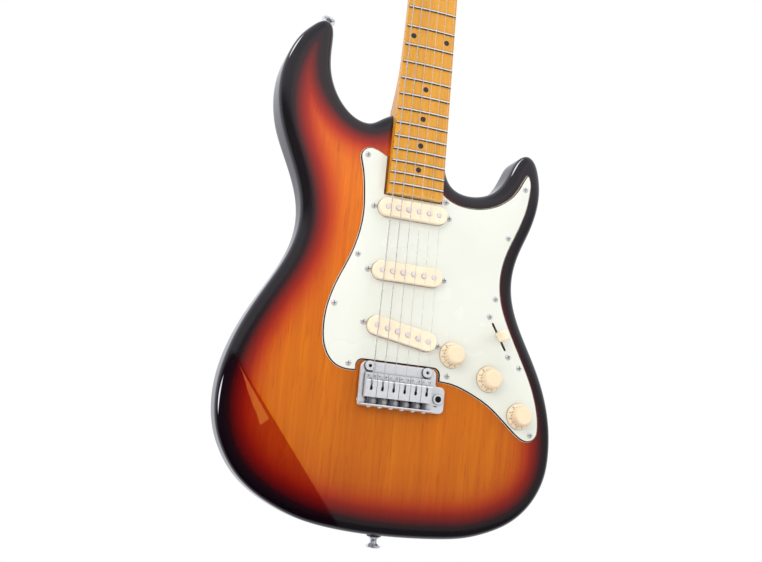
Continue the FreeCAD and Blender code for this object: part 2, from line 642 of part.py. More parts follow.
# ---------------------------------------------------------------- pickguard
def make_pickguard():
    # edge notched round the tremolo, with two rounded corners
    a, b, c, d, e, f, g, h = plan([
        GUARD_LEFT[-1], (-39.9, 5.0), (-38.4, 8.9), (-34.8, 10.6),
        (36.4, 10.6), (40.0, 8.8), (41.5, 5.0), GUARD_RIGHT[0]])
    bridge_edges = [Part.makeLine(a, b), Part.Arc(b, c, d).toShape(), Part.makeLine(d, e),
                    Part.Arc(e, f, g).toShape(), Part.makeLine(g, h)]
    right_x, left_x = GUARD_RIGHT[-1][0], GUARD_LEFT[0][0]
    neck_edges = lines(plan([GUARD_RIGHT[-1], (right_x, HEEL_END - 0.3),
                             (left_x, HEEL_END - 0.3), GUARD_LEFT[0]]))
    wire = Part.Wire([spline(GUARD_LEFT)] + bridge_edges + [spline(GUARD_RIGHT)] + neck_edges)
    guard = Part.Face(wire).extrude(Vector(0, GUARD_TOP, 0))
    cuts = []
    for _, z, angle in PICKUPS:
        cuts.append(slot(35.2 - 9.2, 9.2, -5, 1, 0, z, angle))
        cuts += [place(y_rod(1.75, sx * PICKUP_SCREW_X, 0, -5, 1), 0, z, angle) for sx in SIDES]
    cuts.append(slot(13.9, 1.15, -5, 1, SWITCH_X, SWITCH_Z, SWITCH_ANGLE))
    cuts += [on_switch(y_rod(1.75, sx * SWITCH_SCREW_X, 0, -5, 1)) for sx in SIDES]
    cuts += [y_rod(4.9, x, z, -5, 1) for _, x, z in KNOBS]
    cuts += [y_rod(1.5, x, z, -5, 1) for x, z in GUARD_SCREWS]
    return largest(guard.cut(cuts))


# ------------------------------------------------------------------ pickups
# Each piece is built about the pickup's own centre and placed afterwards.
POLE_X = [(k - 2.5) * POLE_PITCH for k in STRINGS]
POLE_RISE = [0.35, 0.9, 1.2, 0.7, 1.0, 0.35]   # above the cover


def rounded_bar(half_length, radius, y0, y1):
    return slot(half_length - radius, radius, y0, y1)


def pickup_cover():
    cover = rounded_bar(34.9, 8.9, COVER_TOP, -0.2)
    cover = cover.makeFillet(1.3, edges_at(cover.Edges, "y", COVER_TOP))
    cover = cover.fuse([rounded_bar(41.5, 10.5, 0.9, 2.1), rounded_bar(34.9, 8.9, -1, 2.1)])
    cover = cover.cut([rounded_bar(33.7, 7.7, COVER_TOP + 1.2, 5)])
    holes = [y_rod(2.55, x, 0, COVER_TOP - 2, 0) for x in POLE_X]
    holes += [y_rod(1.75, sx * PICKUP_SCREW_X, 0, 0, 5) for sx in SIDES]
    return largest(cover.cut(holes).removeSplitter())


def pickup_coil():
    """Top plate, winding and a bottom plate with screw ears."""
    coil = fuse([rounded_bar(31.5, 6.8, COVER_TOP + 1.3, COVER_TOP + 2.9),
                 rounded_bar(30.5, 6.2, COVER_TOP + 2.8, 6.6),
                 rounded_bar(41.5, 9.5, 6.5, 8.9)])
    holes = [y_rod(2.47, x, 0, COVER_TOP, 12) for x in POLE_X]
    holes += [y_rod(1.55, sx * PICKUP_SCREW_X, 0, 5, 12) for sx in SIDES]
    return largest(coil.cut(holes))


def pickup_pole(k):
    top = COVER_TOP - POLE_RISE[k]
    pole = y_rod(2.42, POLE_X[k], 0, top, 9.6)
    rim = [e for e in pole.Edges
           if abs(e.valueAt(e.FirstParameter).y - top) < 1e-6 and e.Length > 10]
    return pole.makeFillet(0.3, rim)


def pickup_spring(side):
    """Spring between the cover flange and the ear of the bottom plate."""
    return aim(ridged_sleeve(1.75, 2.4, 4.3, 5), (side * PICKUP_SCREW_X, 2.15, 0), (0, 1, 0))


def on_pickups(shapes):
    """Repeat a list of shapes at all three pickups."""
    return [place(shape, 0, z, angle) for _, z, angle in PICKUPS for shape in shapes]


def machine_screws():
    """Screws holding the pickups and the switch to the guard."""
    def guard_screw(x, length):
        return screw((x, GUARD_TOP, 0), (0, -1, 0), 1.5, length, 3.1, 1.5)

    screws = on_pickups([guard_screw(sx * PICKUP_SCREW_X, 16) for sx in SIDES])
    screws += [on_switch(guard_screw(sx * SWITCH_SCREW_X, 7)) for sx in SIDES]
    return group(screws)


# ----------------------------------------------------------------- selector
PIVOT_Y = 15.0


def switch_frame():
    frame = box(-25, 25, 0.05, 1.4, -5.5, 5.5)
    frame = frame.fuse([box(-18, 18, 0.05, 26, 4.3, 5.5), box(-18, 18, 0.05, 26, -5.5, -4.3)])
    frame = frame.fuse(z_rod(1.5, 11, 0, PIVOT_Y, -5.5))
    frame = frame.cut([slot(14.2, 1.6, -1, 1.6)]
                      + [y_rod(1.55, sx * SWITCH_SCREW_X, 0, -1, 3) for sx in SIDES])
    return on_switch(largest(frame.removeSplitter()))


def switch_lever():
    lever = box(-2.3, 2.3, -15.0, PIVOT_Y, -0.65, 0.65)
    lever = lever.fuse(z_rod(4.4, 1.3, 0, PIVOT_Y, -0.65))
    lever = lever.cut(z_rod(1.55, 4, 0, PIVOT_Y, -2)).removeSplitter()
    return on_switch(lever.Solids[0])


def switch_tip():
    tip = box(-5.2, 5.2, -19.0, -6.2, -3.7, 3.7)
    tip = tip.makeFillet(2.6, edges_over(tip.Edges, "y", 5))
    tip = tip.makeFillet(2.2, edges_above(tip.Edges, -18.9))
    tip = tip.cut(box(-2.33, 2.33, -15.05, -5, -0.68, 0.68))
    return on_switch(tip.Solids[0])


# ------------------------------------------------- potentiometers and knobs
def potentiometer(x, z):
    can = y_rod(11.8, x, z, 1.6, 11.6)
    can = can.makeFillet(1.0, [e for e in can.Edges if e.Length > 40])
    pot = fuse([can, y_rod(4.7, x, z, -6.0, 2), box(x - 3, x + 3, 2.0, 3.6, z - 12.2, z)])
    return largest(pot.cut(y_rod(3.06, x, z, -7, 9.0)))


def pot_nut(x, z):
    nut = aim(hexagon(6.4, 2.0), (x, GUARD_TOP, z), (0, -1, 0))
    return nut.cut(y_rod(4.75, x, z, -6, 0)).Solids[0]


def make_knob(x, z):
    """Skirted knob with flutes, hollow over the nut and bored for the shaft."""
    knob = revolve_y([
        (0, -17.0), (6.4, -17.0), (7.6, -16.7), (8.4, -15.8), (8.9, -14.6), (9.7, -7.4),
        (10.1, -6.7), (11.9, -5.3), (12.4, -4.6), (12.4, -3.0), (12.0, -2.75), (0, -2.75)], x, z)
    flutes = []
    flute_count = 18
    for i in range(flute_count):
        angle = 2 * math.pi * i / flute_count
        c, s = math.cos(angle), math.sin(angle)
        flutes.append(Part.makeCone(1.0, 0.8, 11.5, Vector(x + 10.15 * c, -6.9, z + 10.15 * s),
                                    Vector(-0.085 * c, -1, -0.085 * s)))
    return largest(knob.cut(flutes + [y_rod(7.4, x, z, -6.6, 0), y_rod(3.03, x, z, -14.7, 0)]))


# --------------------------------------------------------------------- jack
JACK_PLATE = 1.5               # thickness


def jack_plate():
    plate = box(-19, 19, -10.5, 10.5, 0, JACK_PLATE)
    plate = plate.makeFillet(5.0, edges_over(plate.Edges, "z", 1))
    plate = plate.makeFillet(0.5, edges_at(plate.Edges, "z", JACK_PLATE))
    plate = plate.cut([z_rod(4.8, 4, 0, 0, -1)]
                      + [z_rod(1.5, 4, sx * JACK_SCREW_X, 0, -1) for sx in SIDES])
    return on_jack(plate.Solids[0])


def output_jack():
    """Threaded barrel, flange and two bent contact strips."""
    jack = fuse([z_rod(4.7, 9.0, 0, 0, -4.4), z_rod(8.2, 1.6, 0, 0, -4.6),
                 box(-8.0, 8.0, -4.0, 4.0, -4.4, -3.0), box(6.4, 8.0, -3.0, 3.0, -26.0, -3.5),
                 box(-8.0, -6.4, -3.0, 3.0, -20.0, -3.5),
                 box(-8.0, -3.7, -3.0, 3.0, -20.6, -19.4)])
    return on_jack(largest(jack.cut(z_rod(3.25, 30, 0, 0, -10))))


def jack_nut():
    nut = hexagon(7.3, 2.2).cut(z_rod(4.75, 6, 0, 0, -1))
    nut.translate(Vector(0, 0, JACK_PLATE))
    return on_jack(nut.Solids[0])


# ------------------------------------------------------------ strap buttons
FELT_THICKNESS = 1.65
BUTTON_HEAD = 10.9             # seat of the screw head above the felt's base


def strap_felt(seat, out):
    return aim(Part.makeCylinder(6.6, FELT_THICKNESS).cut(z_rod(2.0, 4, 0, 0, -1)), seat, out)


def strap_button(seat, out):
    button = revolve_z([
        (1.98, FELT_THICKNESS), (5.4, FELT_THICKNESS), (5.2, 2.5), (3.6, 4.0), (3.3, 6.0),
        (3.6, 7.8), (5.6, 9.3), (7.0, 9.6), (7.0, 11.1), (6.2, 11.9), (4.0, 11.9),
        (3.9, BUTTON_HEAD), (1.98, BUTTON_HEAD)])
    return aim(button.Solids[0], seat, out)


def long_screws():
    """Strap button screws, then the claw screws running towards the neck."""
    screws = [screw(seat + out * BUTTON_HEAD, out, 1.9, 34, 3.4, 1.4)
              for seat, out in BUTTON_SEATS]
    screws += [screw((sx * CLAW_SCREW_X, CLAW_Y, CLAW_Z - 0.42), (0, 0, -1), 1.95, 54.0, 3.2, 1.6)
               for sx in SIDES]
    return group(screws)


# ------------------------------------------------------------------ tremolo
INTONATION_Y = -8.8            # axis of the intonation screws
HEIGHT_SCREW_Z = -3.9
HEIGHT_SCREW_DX = 3.2          # from the middle of the saddle
STUD_WAIST = 2.6


def corner_edges(shape, corners):
    """Edges through the thickness at the given (x, z) corners."""
    found = []
    for edge in edges_over(shape.Edges, "y", 1):
        point = edge.Vertexes[0].Point
        if any((point.x - x) ** 2 + (point.z - z) ** 2 < 0.01 for x, z in corners):
            found.append(edge)
    return found


def knife_edge(x):
    """Wedge from the plate meeting the waist of a stud."""
    middle = (PLATE_TOP + PLATE_UNDER) / 2
    root, tip = STUD_Z - 5.25 - 1.0, STUD_Z - STUD_WAIST - 0.03
    profile = [(PLATE_TOP, root), (PLATE_UNDER, root), (PLATE_UNDER, root + 1.0),
               (middle + 0.2, tip), (middle - 0.2, tip), (PLATE_TOP, root + 1.0)]
    wedge = polygon_face([Vector(x - 3.0, y, z) for y, z in profile]).extrude(Vector(6.0, 0, 0))
    return wedge.cut(y_rod(STUD_WAIST + 0.03, x, STUD_Z, -10, 5))


def tremolo_plate():
    x0, x1, z0, z1 = -36.6, 38.0, -31.2, 9.7
    ear_x, ear_z = 47.8, -6.2       # corner of the ear for the arm
    plate = prism([(x0, z0), (ear_x, z0), (ear_x, ear_z), (x1, ear_z), (x1, z1), (x0, z1)],
                  PLATE_TOP, PLATE_UNDER)
    for radius, corners in [(6.0, [(x0, z1), (x1, z1)]), (5.0, [(ear_x, z0), (ear_x, ear_z)]),
                            (2.4, [(x0, z0)]), (2.0, [(x1, ear_z)])]:
        plate = plate.makeFillet(radius, corner_edges(plate, corners))
    plate = plate.makeFillet(0.6, edges_at(plate.Edges, "y", PLATE_TOP))
    # upturned lip at the tail end carrying the intonation screws
    lip = box(-34.6, 35.0, PLATE_TOP - 6.4, PLATE_TOP + 0.2, -31.0, -29.4)
    lip = lip.makeFillet(0.6, edges_above(lip.Edges, PLATE_TOP - 6.3))
    plate = fuse([plate, lip, y_rod(4.9, ARM_X, ARM_Z, PLATE_TOP - 1.3, 3.0)])
    cuts = [y_rod(3.1, ARM_X, ARM_Z, -10, 8),
            box(37.6, 40.8, PLATE_TOP - 0.1, PLATE_TOP + 0.9, -25.2, -24.2)]
    cuts += [y_rod(5.25, sx * STUD_X, STUD_Z, -10, 5) for sx in SIDES]
    for x in SADDLE_X:
        cuts.append(slot(2.8, 1.3, -10, 5, x, -14.0, math.pi / 2))
        cuts.append(z_rod(1.35, 6, x, INTONATION_Y, -33))
    for x in BLOCK_SCREW_X:
        cuts.append(y_rod(1.9, x, BLOCK_SCREW_Z, -10, 5))
        cuts.append(y_cone(3.4, 1.9, x, BLOCK_SCREW_Z, PLATE_TOP, PLATE_TOP + 1.5))
    plate = plate.cut(cuts)
    for sx in SIDES:
        plate = plate.fuse(knife_edge(sx * STUD_X))
    return largest(plate.removeSplitter())


def stud_and_anchor(x):
    """Waisted stud with a hexagon socket, and the flanged sleeve it screws into."""
    stud = revolve_y([
        (0, -7.9), (4.3, -7.9), (4.7, -7.5), (4.7, -5.8), (STUD_WAIST, -5.75),
        (STUD_WAIST, -2.35), (4.6, -2.3), (4.6, -1.1), (3.4, -1.1), (3.4, 17), (0, 17)],
        x, STUD_Z)
    socket = aim(hexagon(1.75, 3.0), (x, -5.6, STUD_Z), (0, -1, 0))
    anchor = revolve_y([(3.45, -0.8), (5.0, -0.8), (5.0, 0.0), (4.75, 0.0), (4.75, 21),
                        (3.45, 21)], x, STUD_Z)
    return [stud.cut(socket).Solids[0], anchor.Solids[0]]


def make_saddle(x):
    half_w = 5.2
    # side view, (y, z)
    profile = [(-5.75, -1.0), (-11.2, -1.0), (-11.2, -7.0), (-13.0, -7.4),
               (-STRING_HEIGHT, -8.3), (-13.2, -12.0), (-12.2, -23.2), (-5.75, -23.2)]
    face = polygon_face([Vector(x - half_w, y, z) for y, z in profile])
    saddle = face.extrude(Vector(2 * half_w, 0, 0))
    saddle = saddle.cut(
        [slot(3.2, 0.85, -16, -4, x, -12.9, math.pi / 2),
         slot(0.9, 1.25, -16, -4, x, -15.0, math.pi / 2),
         z_rod(1.25, 8, x, INTONATION_Y, -24)]
        + [y_rod(1.3, x + sx * HEIGHT_SCREW_DX, HEIGHT_SCREW_Z, -16, -4) for sx in SIDES])
    return largest(saddle.removeSplitter())


def height_screw(x):
    stem = y_rod(1.25, x, HEIGHT_SCREW_Z, -11.6, PLATE_TOP - 0.01)
    socket = aim(hexagon(0.7, 2.0), (x, -10.3, HEIGHT_SCREW_Z), (0, -1, 0))
    return stem.cut(socket).Solids[0]


def intonation_screw(x):
    return screw((x, INTONATION_Y, -31.05), (0, 0, -1), 1.2, 13.0, 2.45, 1.9)


def intonation_spring(x):
    return aim(ridged_sleeve(1.55, 2.2, 6.1, 6), (x, INTONATION_Y, -29.35), (0, 0, 1))


def block_screw(x):
    """Countersunk socket screw from the plate into the block."""
    solid = fuse([y_cone(3.3, 1.7, x, BLOCK_SCREW_Z, PLATE_TOP + 0.1, PLATE_TOP + 1.6),
                  y_rod(1.7, x, BLOCK_SCREW_Z, PLATE_TOP + 1.5, PLATE_UNDER + 12)])
    socket = aim(hexagon(1.2, 3.0), (x, PLATE_TOP + 1.4, BLOCK_SCREW_Z), (0, -1, 0))
    return solid.cut(socket).Solids[0]


def tremolo_block():
    """Block under the plate, drilled for strings, springs and screws."""
    block = box(-33.5, 33.5, PLATE_UNDER, 36.0, -22.4, -9.8)
    holes = []
    for x in SADDLE_X:
        holes.append(y_rod(1.0, x, BLOCK_STRING_Z, PLATE_UNDER - 1, 40))
        holes.append(y_rod(2.6, x, BLOCK_STRING_Z, 10, 40))
    holes += [rod(0.95, 8.0, (x, 32.0, -5.0), (0, 0, -1)) for x in SPRING_X]
    holes += [y_rod(1.75, x, BLOCK_SCREW_Z, PLATE_UNDER - 1, PLATE_UNDER + 13)
              for x in BLOCK_SCREW_X]
    return largest(block.cut(holes).removeSplitter())


def tremolo_spring(x):
    """Close-wound coil as a ridged bar, with a straight tail and hook."""
    radius, wire = 3.6, 1.0
    start, end = 3.0, 88.0
    turns = int((end - start) / wire)
    root = radius - 0.45
    profile = [(0, start)]
    for i in range(turns):
        z = start + i * wire
        profile += [(root, z + 0.02), (radius, z + 0.3), (radius, z + 0.7)]
    top = start + turns * wire
    coil = revolve_z(profile + [(root, top), (0, top)])
    coil.translate(Vector(x, CLAW_Y, 0))
    return fuse([coil.Solids[0], z_rod(0.85, 16.0, x, 32.0, -12.6),
                 z_rod(0.85, 13.0, x, 33.0, 87.5)])


def spring_claw():
    claw = box(-28, 28, 29.0, 40.0, CLAW_Z - 0.4, CLAW_Z + 1.6)
    claw = claw.makeFillet(2.0, edges_over(claw.Edges, "z", 1))
    claw = claw.fuse([box(x - 2.2, x + 2.2, 34.4, 36.4, 97.5, CLAW_Z) for x in SPRING_X])
    claw = claw.cut([z_rod(2.05, 8, sx * CLAW_SCREW_X, CLAW_Y, 98) for sx in SIDES]
                    + [z_rod(0.95, 8, x, 33.0, 98) for x in SPRING_X])
    return largest(claw.removeSplitter())


# --------------------------------------------------- plates and small screws
def back_cover():
    """Cover over the spring cavity, with an opening under the block."""
    top = BODY_THICKNESS + COVER_THICKNESS
    cover = prism([(-42, -50), (42, -50), (42, 122), (-42, 122)], BODY_THICKNESS, top)
    cover = cover.makeFillet(7.0, edges_over(cover.Edges, "y", 1))
    cover = cover.makeChamfer(0.8, edges_at(cover.Edges, "y", top))
    y0, y1 = BODY_THICKNESS - 1, BODY_THICKNESS + 3
    cover = cover.cut([slot(26.0, 7.5, y0, y1, 0, BLOCK_STRING_Z)]
                      + [y_rod(1.5, x, z, y0, y1) for x, z in COVER_SCREWS])
    return cover.Solids[0]


def neck_plate():
    top = BODY_THICKNESS + NECK_PLATE_THICKNESS
    plate = prism([(-23.0, 178), (23.0, 178), (23.0, 238), (-23.0, 238)], BODY_THICKNESS, top)
    plate = plate.makeFillet(5.0, edges_over(plate.Edges, "y", 1))
    plate = plate.makeFillet(0.6, edges_at(plate.Edges, "y", top))
    holes = [y_rod(2.6, x, z, BODY_THICKNESS - 1, BODY_THICKNESS + 3) for x, z in BOLTS]
    return plate.cut(holes).Solids[0]


def neck_screw(x, z):
    return screw((x, BODY_THICKNESS + NECK_PLATE_THICKNESS, z), (0, 1, 0), 2.0, 44.5, 4.4, 2.2)


def small_screws():
    """Wood screws of the guard, back cover, jack plate, tuners and string trees."""
    cover_y = BODY_THICKNESS + COVER_THICKNESS
    screws = [screw((x, GUARD_TOP, z), (0, -1, 0), 1.3, 11.5, 3.05, 1.2)
              for x, z in GUARD_SCREWS]
    screws += [screw((x, cover_y, z), (0, 1, 0), 1.3, 11.5, 3.05, 1.2) for x, z in COVER_SCREWS]
    screws += [on_jack(screw((sx * JACK_SCREW_X, 0, JACK_PLATE), (0, 0, 1), 1.3, 11.5, 2.9, 1.1))
               for sx in SIDES]
    screws += [screw(position, direction, 1.1, length, 2.0, 1.0)
               for position, direction, length, _ in head_screws]
    return group(screws)


# ------------------------------------------------------------------ strings
def make_string(k):
    """String from its ball end in the block to nearly two turns on the post."""
    r = STRING_RADII[k]
    bridge_x, nut_x = SADDLE_X[k], NUT_X[k]
    saddle_y = -STRING_HEIGHT - r - 0.02 - 0.25
    points = [Vector(bridge_x, 11.0, BLOCK_STRING_Z), Vector(bridge_x, -9.0, -15.6),
              Vector(bridge_x, saddle_y, -8.6), Vector(bridge_x, saddle_y, -7.9)]
    points += [Vector(nut_x, nut_y[k] - r, SCALE_LENGTH + dz) for dz in (0.2, 3.2)]
    # under a string tree, drifting slightly sideways
    if k >= 2:
        (_, tree_z), drift = (TREES[0], 0.1) if k < 4 else (TREES[1], 0.05)
        y = TREE_UNDER + r + 0.02
        points += [Vector(nut_x + drift, y, tree_z - 3.3),
                   Vector(nut_x + drift + 0.05, y, tree_z + 3.3)]
    post_x, post_z = TUNERS[k]
    wrap_r = POST_WAIST + r + 0.09
    wrap_y = HEAD_FACE - (8.6 if k < 2 else 8.0)
    steps = 22                      # per turn
    for t in range(2 * steps):
        angle = 2 * math.pi * t / steps
        points.append(Vector(post_x + wrap_r * math.cos(angle), wrap_y + 2.1 * r * t / steps,
                             post_z + wrap_r * math.sin(angle)))
    sweep = Part.BRepOffsetAPI.MakePipeShell(Part.makePolygon(points))
    sweep.setTransitionMode(1)
    sweep.add(Part.Wire([Part.makeCircle(r, points[0], points[1] - points[0])]))
    sweep.build()
    sweep.makeSolid()
    return largest(sweep.shape().fuse(y_rod(2.1, bridge_x, BLOCK_STRING_Z, 10.05, 13.5)))


# ----------------------------------------------------------------- assembly
neck_blank = make_neck_blank()
parts = {
    "body": make_body(),
    "neck": make_neck(neck_blank),
    "skunk_stripe": make_filler_strip(neck_blank),
    "truss_rod": make_truss_rod(),
    "frets": group([make_fret(n) for n in range(1, FRET_COUNT + 1)]),
    "fret_markers": make_fret_markers(),
    "nut": make_nut(),
    "tuner_bushings": group([tuner_bushing(k) for k in STRINGS]),
    "tuner_housings": group([tuner_housing(x, z) for x, z in TUNERS]),
    "string_trees": group([string_tree(x, z) for x, z in TREES]),
    "pickguard": make_pickguard(),
    "pickup_coils": group(on_pickups([pickup_coil()])),
    "pickup_poles": group(on_pickups([pickup_pole(k) for k in STRINGS])),
    "pickup_springs": group(on_pickups([pickup_spring(sx) for sx in SIDES])),
    "switch_frame": switch_frame(),
    "switch_lever": switch_lever(),
    "switch_tip": switch_tip(),
    "machine_screws": machine_screws(),
    "potentiometers": group([potentiometer(x, z) for _, x, z in KNOBS]),
    "panel_nuts": group([pot_nut(x, z) for _, x, z in KNOBS] + [jack_nut()]),
    "jack_plate": jack_plate(),
    "output_jack": output_jack(),
    "strap_felts": group([strap_felt(*seat) for seat in BUTTON_SEATS]),
    "strap_buttons": group([strap_button(*seat) for seat in BUTTON_SEATS]),
    "strap_and_claw_screws": long_screws(),
    "tremolo_plate": tremolo_plate(),
    "tremolo_studs": group([piece for sx in SIDES for piece in stud_and_anchor(sx * STUD_X)]),
    "saddles": group([make_saddle(x) for x in SADDLE_X]),
    "saddle_height_screws": group([height_screw(x + sx * HEIGHT_SCREW_DX)
                                   for x in SADDLE_X for sx in SIDES]),
    "intonation_springs": group([intonation_spring(x) for x in SADDLE_X]),
    "bridge_screws": group([intonation_screw(x) for x in SADDLE_X]
                           + [block_screw(x) for x in BLOCK_SCREW_X]),
    "tremolo_block": tremolo_block(),
    "tremolo_springs": group([tremolo_spring(x) for x in SPRING_X]),
    "spring_claw": spring_claw(),
    "back_cover": back_cover(),
    "neck_plate": neck_plate(),
    "neck_screws": group([neck_screw(x, z) for x, z in BOLTS]),
    "small_screws": small_screws(),
    "strings": group([make_string(k) for k in STRINGS]),
}
# tuners are numbered from 6 on the bass side to 1
for k, (x, z) in enumerate(TUNERS):
    parts["tuner_post_%d" % (6 - k)] = tuner_post(x, z)
    parts["tuner_button_%d" % (6 - k)] = tuner_button(x, z)
for name, z, angle in PICKUPS:
    parts["pickup_cover_" + name] = place(pickup_cover(), 0, z, angle)
for name, x, z in KNOBS:
    parts["pot_shaft_" + name] = y_rod(3.0, x, z, -14.5, 8.6)
    parts["knob_" + name] = make_knob(x, z)

# ------------------------------------------------------------------- export
os.makedirs("parts", exist_ok=True)
for name, shape in sorted(parts.items()):
    moved = shape.copy()
    moved.translate(Vector(0, -BODY_THICKNESS / 2.0, -END_BUTTON_RIM_Z))
    moved.exportStep(os.path.join("parts", name + ".step"))
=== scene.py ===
"""Solid-body electric guitar: looks for its CAD parts, with a floor, studio lights and camera.

Working units are millimetres: +X towards the thin strings, Y = 0 on the body face with +Y into
the body, Z = 0 at the bridge end of the scale with +Z up the neck. `metres` and `at` turn them
into the frame's metres.
"""
import bpy
import bmesh
import math
import numpy as np
from mathutils import Matrix, Vector
from mathutils.geometry import delaunay_2d_cdt


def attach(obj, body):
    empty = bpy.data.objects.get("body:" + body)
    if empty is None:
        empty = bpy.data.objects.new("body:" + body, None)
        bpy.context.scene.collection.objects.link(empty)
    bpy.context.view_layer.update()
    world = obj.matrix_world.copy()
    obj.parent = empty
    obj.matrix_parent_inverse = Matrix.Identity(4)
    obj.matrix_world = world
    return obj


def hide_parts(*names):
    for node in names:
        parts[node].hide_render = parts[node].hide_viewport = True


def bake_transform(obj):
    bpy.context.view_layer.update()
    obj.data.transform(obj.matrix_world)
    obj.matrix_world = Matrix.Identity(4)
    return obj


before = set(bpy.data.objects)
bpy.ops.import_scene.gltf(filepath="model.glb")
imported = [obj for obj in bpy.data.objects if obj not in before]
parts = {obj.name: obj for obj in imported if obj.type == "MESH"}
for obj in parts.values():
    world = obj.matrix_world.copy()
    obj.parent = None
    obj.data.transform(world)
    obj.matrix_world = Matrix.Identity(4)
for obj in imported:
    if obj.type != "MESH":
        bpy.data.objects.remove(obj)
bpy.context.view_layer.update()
scene = bpy.context.scene

# -------------------------------------------------------------- dimensions
BODY_THICK = 44.5
FRAME_SHIFT = np.array((0.0, -BODY_THICK / 2.0, 157.0))

# Closed body outline: X, Z.
BODY_OUTLINE = [
    (-14.7, -146.1), (-48.5, -143.0), (-75.2, -137.7), (-99.3, -128.5), (-120.7, -116.5),
    (-137.6, -102.0), (-150.4, -84.3), (-159.2, -64.4), (-163.3, -42.6), (-163.0, -19.1),
    (-158.2, 5.5), (-148.9, 31.7), (-135.0, 60.2), (-119.7, 88.8), (-110.3, 112.1),
    (-106.6, 133.6), (-108.3, 155.3), (-115.4, 178.7), (-127.5, 207.4), (-136.7, 233.8),
    (-140.5, 257.3), (-139.6, 279.7), (-134.0, 300.6), (-125.2, 317.9), (-115.6, 328.8),
    (-109.2, 333.9), (-102.8, 335.8), (-96.9, 332.7), (-94.2, 325.8), (-93.7, 315.0),
    (-93.6, 300.0), (-91.5, 284.4), (-84.5, 266.4), (-74.0, 252.5), (-61.5, 243.9),
    (-47.9, 242.2), (-35.7, 249.1), (-22.1, 256.0), (-4.7, 257.4), (12.0, 256.3),
    (25.6, 251.0), (32.2, 238.5), (33.3, 222.0), (34.6, 205.6), (42.9, 192.5),
    (56.2, 187.7), (71.4, 188.7), (86.0, 194.9), (97.5, 207.0), (105.0, 222.0),
    (108.8, 230.2), (113.6, 236.6), (120.6, 239.9), (127.6, 237.0), (132.4, 230.2),
    (135.1, 222.0), (137.6, 205.7), (136.2, 185.1), (129.5, 161.4), (119.6, 136.3),
    (114.5, 114.5), (114.9, 93.7), (121.0, 72.6), (133.1, 48.2), (148.4, 19.8),
    (158.7, -5.9), (164.5, -30.8), (166.1, -55.4), (163.7, -77.4), (156.4, -96.5),
    (144.6, -113.0), (128.8, -126.1), (108.7, -135.8), (84.9, -142.7), (57.1, -145.8),
    (22.2, -146.9)]
# Pickguard edge on the -X side, from the neck down to the bridge: X, Z.
GUARD_BASS_EDGE = [
    (-28.5, 209.0), (-34.0, 211.8), (-40.3, 214.3), (-47.0, 215.3), (-53.3, 212.3),
    (-56.3, 206.1), (-54.9, 198.4), (-52.1, 187.2), (-49.8, 169.8), (-48.6, 155.0),
    (-49.5, 137.8), (-52.5, 122.2), (-58.5, 103.1), (-66.3, 84.2), (-71.7, 68.1),
    (-75.0, 52.1), (-75.7, 38.0), (-73.7, 21.9), (-68.1, 10.0), (-60.3, 2.9),
    (-52.0, 0.1), (-39.6, 0.0)]
# Pickguard edge on the +X side, from the bridge round the knobs to the neck: X, Z.
GUARD_TREBLE_EDGE = [
    (41.6, -1.4), (55.3, -2.6), (69.7, -6.9), (84.4, -13.3), (97.5, -20.9),
    (109.5, -30.3), (120.1, -39.2), (129.2, -45.8), (137.2, -48.3), (143.1, -46.6),
    (147.2, -42.5), (148.6, -35.8), (146.3, -16.7), (141.0, 0.4), (134.0, 16.1),
    (123.3, 35.9), (112.7, 55.6), (104.0, 74.3), (99.5, 89.9), (98.2, 107.0),
    (100.2, 122.2), (105.0, 137.8), (110.9, 151.8), (117.8, 169.7), (122.1, 185.0),
    (124.0, 199.9), (122.8, 213.7), (119.9, 217.6), (116.7, 213.8), (106.8, 195.6),
    (94.5, 184.0), (77.9, 175.8), (60.0, 173.0), (45.2, 174.6), (34.0, 179.6),
    (28.5, 184.5)]
# Routed cavity under the controls: X, Z.
CONTROL_CAVITY = [
    (46.5, 41), (46.5, 13.0), (62, 10.5), (84, -8.5), (98, -13), (110, -22), (117, -34.5),
    (127, -38.2), (137, -35), (141, -24), (139, -12), (130, 2), (120.5, 16), (119.5, 36),
    (108.5, 58), (98.5, 76), (84.5, 76), (73, 52), (60, 44)]
GUARD_TOP = -2.3
GUARD_NECK_HALF = 28.5
HEEL_END = 172.5
SCALE_LENGTH = 648.0
NUT_WIDTH, HEEL_WIDTH = 42.0, 55.6
PICKUPS = [(158.0, 0.0), (96.4, 0.0), (39.2, 0.179)]   # Z of the centre, turn in radians
PICKUP_HALF, PICKUP_ROUND = 35.2, 9.2
SWITCH_SLOT = (100.15, 49.7)
SWITCH_SLOT_TURN = math.atan2(24.6, 15.1)
ARM_SOCKET = (41.3, -17.8)
STUD_X, STUD_Z = 28.3, 5.5
KNOBS = [("volume", 52.8, 25.7), ("tone_neck", 92.5, 7.3), ("tone_middle", 126.6, -24.6)]
STRING_RADII = [0.53, 0.41, 0.31, 0.215, 0.165, 0.13]

# The flat forearm bevel starts at this line on the face.
BEVEL_EDGE = (-101.5, -64.0)
BEVEL_RUN = math.hypot(0.62, 0.785)
BEVEL_ALONG = (0.62 / BEVEL_RUN, -0.785 / BEVEL_RUN)
BEVEL_ACROSS = (-0.785 / BEVEL_RUN, -0.62 / BEVEL_RUN)
BEVEL_MARK = (-141.0, 1.0)        # where the distance along the bevel is zero
BEVEL_ANGLE = math.radians(12.0)
BEVEL_BLEND = 30.0                # radius between the face and the bevel

# The belly cut is part of a ball let into the back: centre and radius.
BELLY_X, BELLY_Y, BELLY_Z, BELLY_RADIUS = -160.0, 288.4, 138.0, 260.0

# Jack seat in the body side: its centre, the way out, and the long way of the plate.
JACK_CENTRE = Vector((153.935292, BODY_THICK / 2, -95.171387))
JACK_OUT = Vector((0.880253, 0.0, -0.474505))
JACK_LONG = Vector((JACK_OUT.z, 0.0, -JACK_OUT.x))


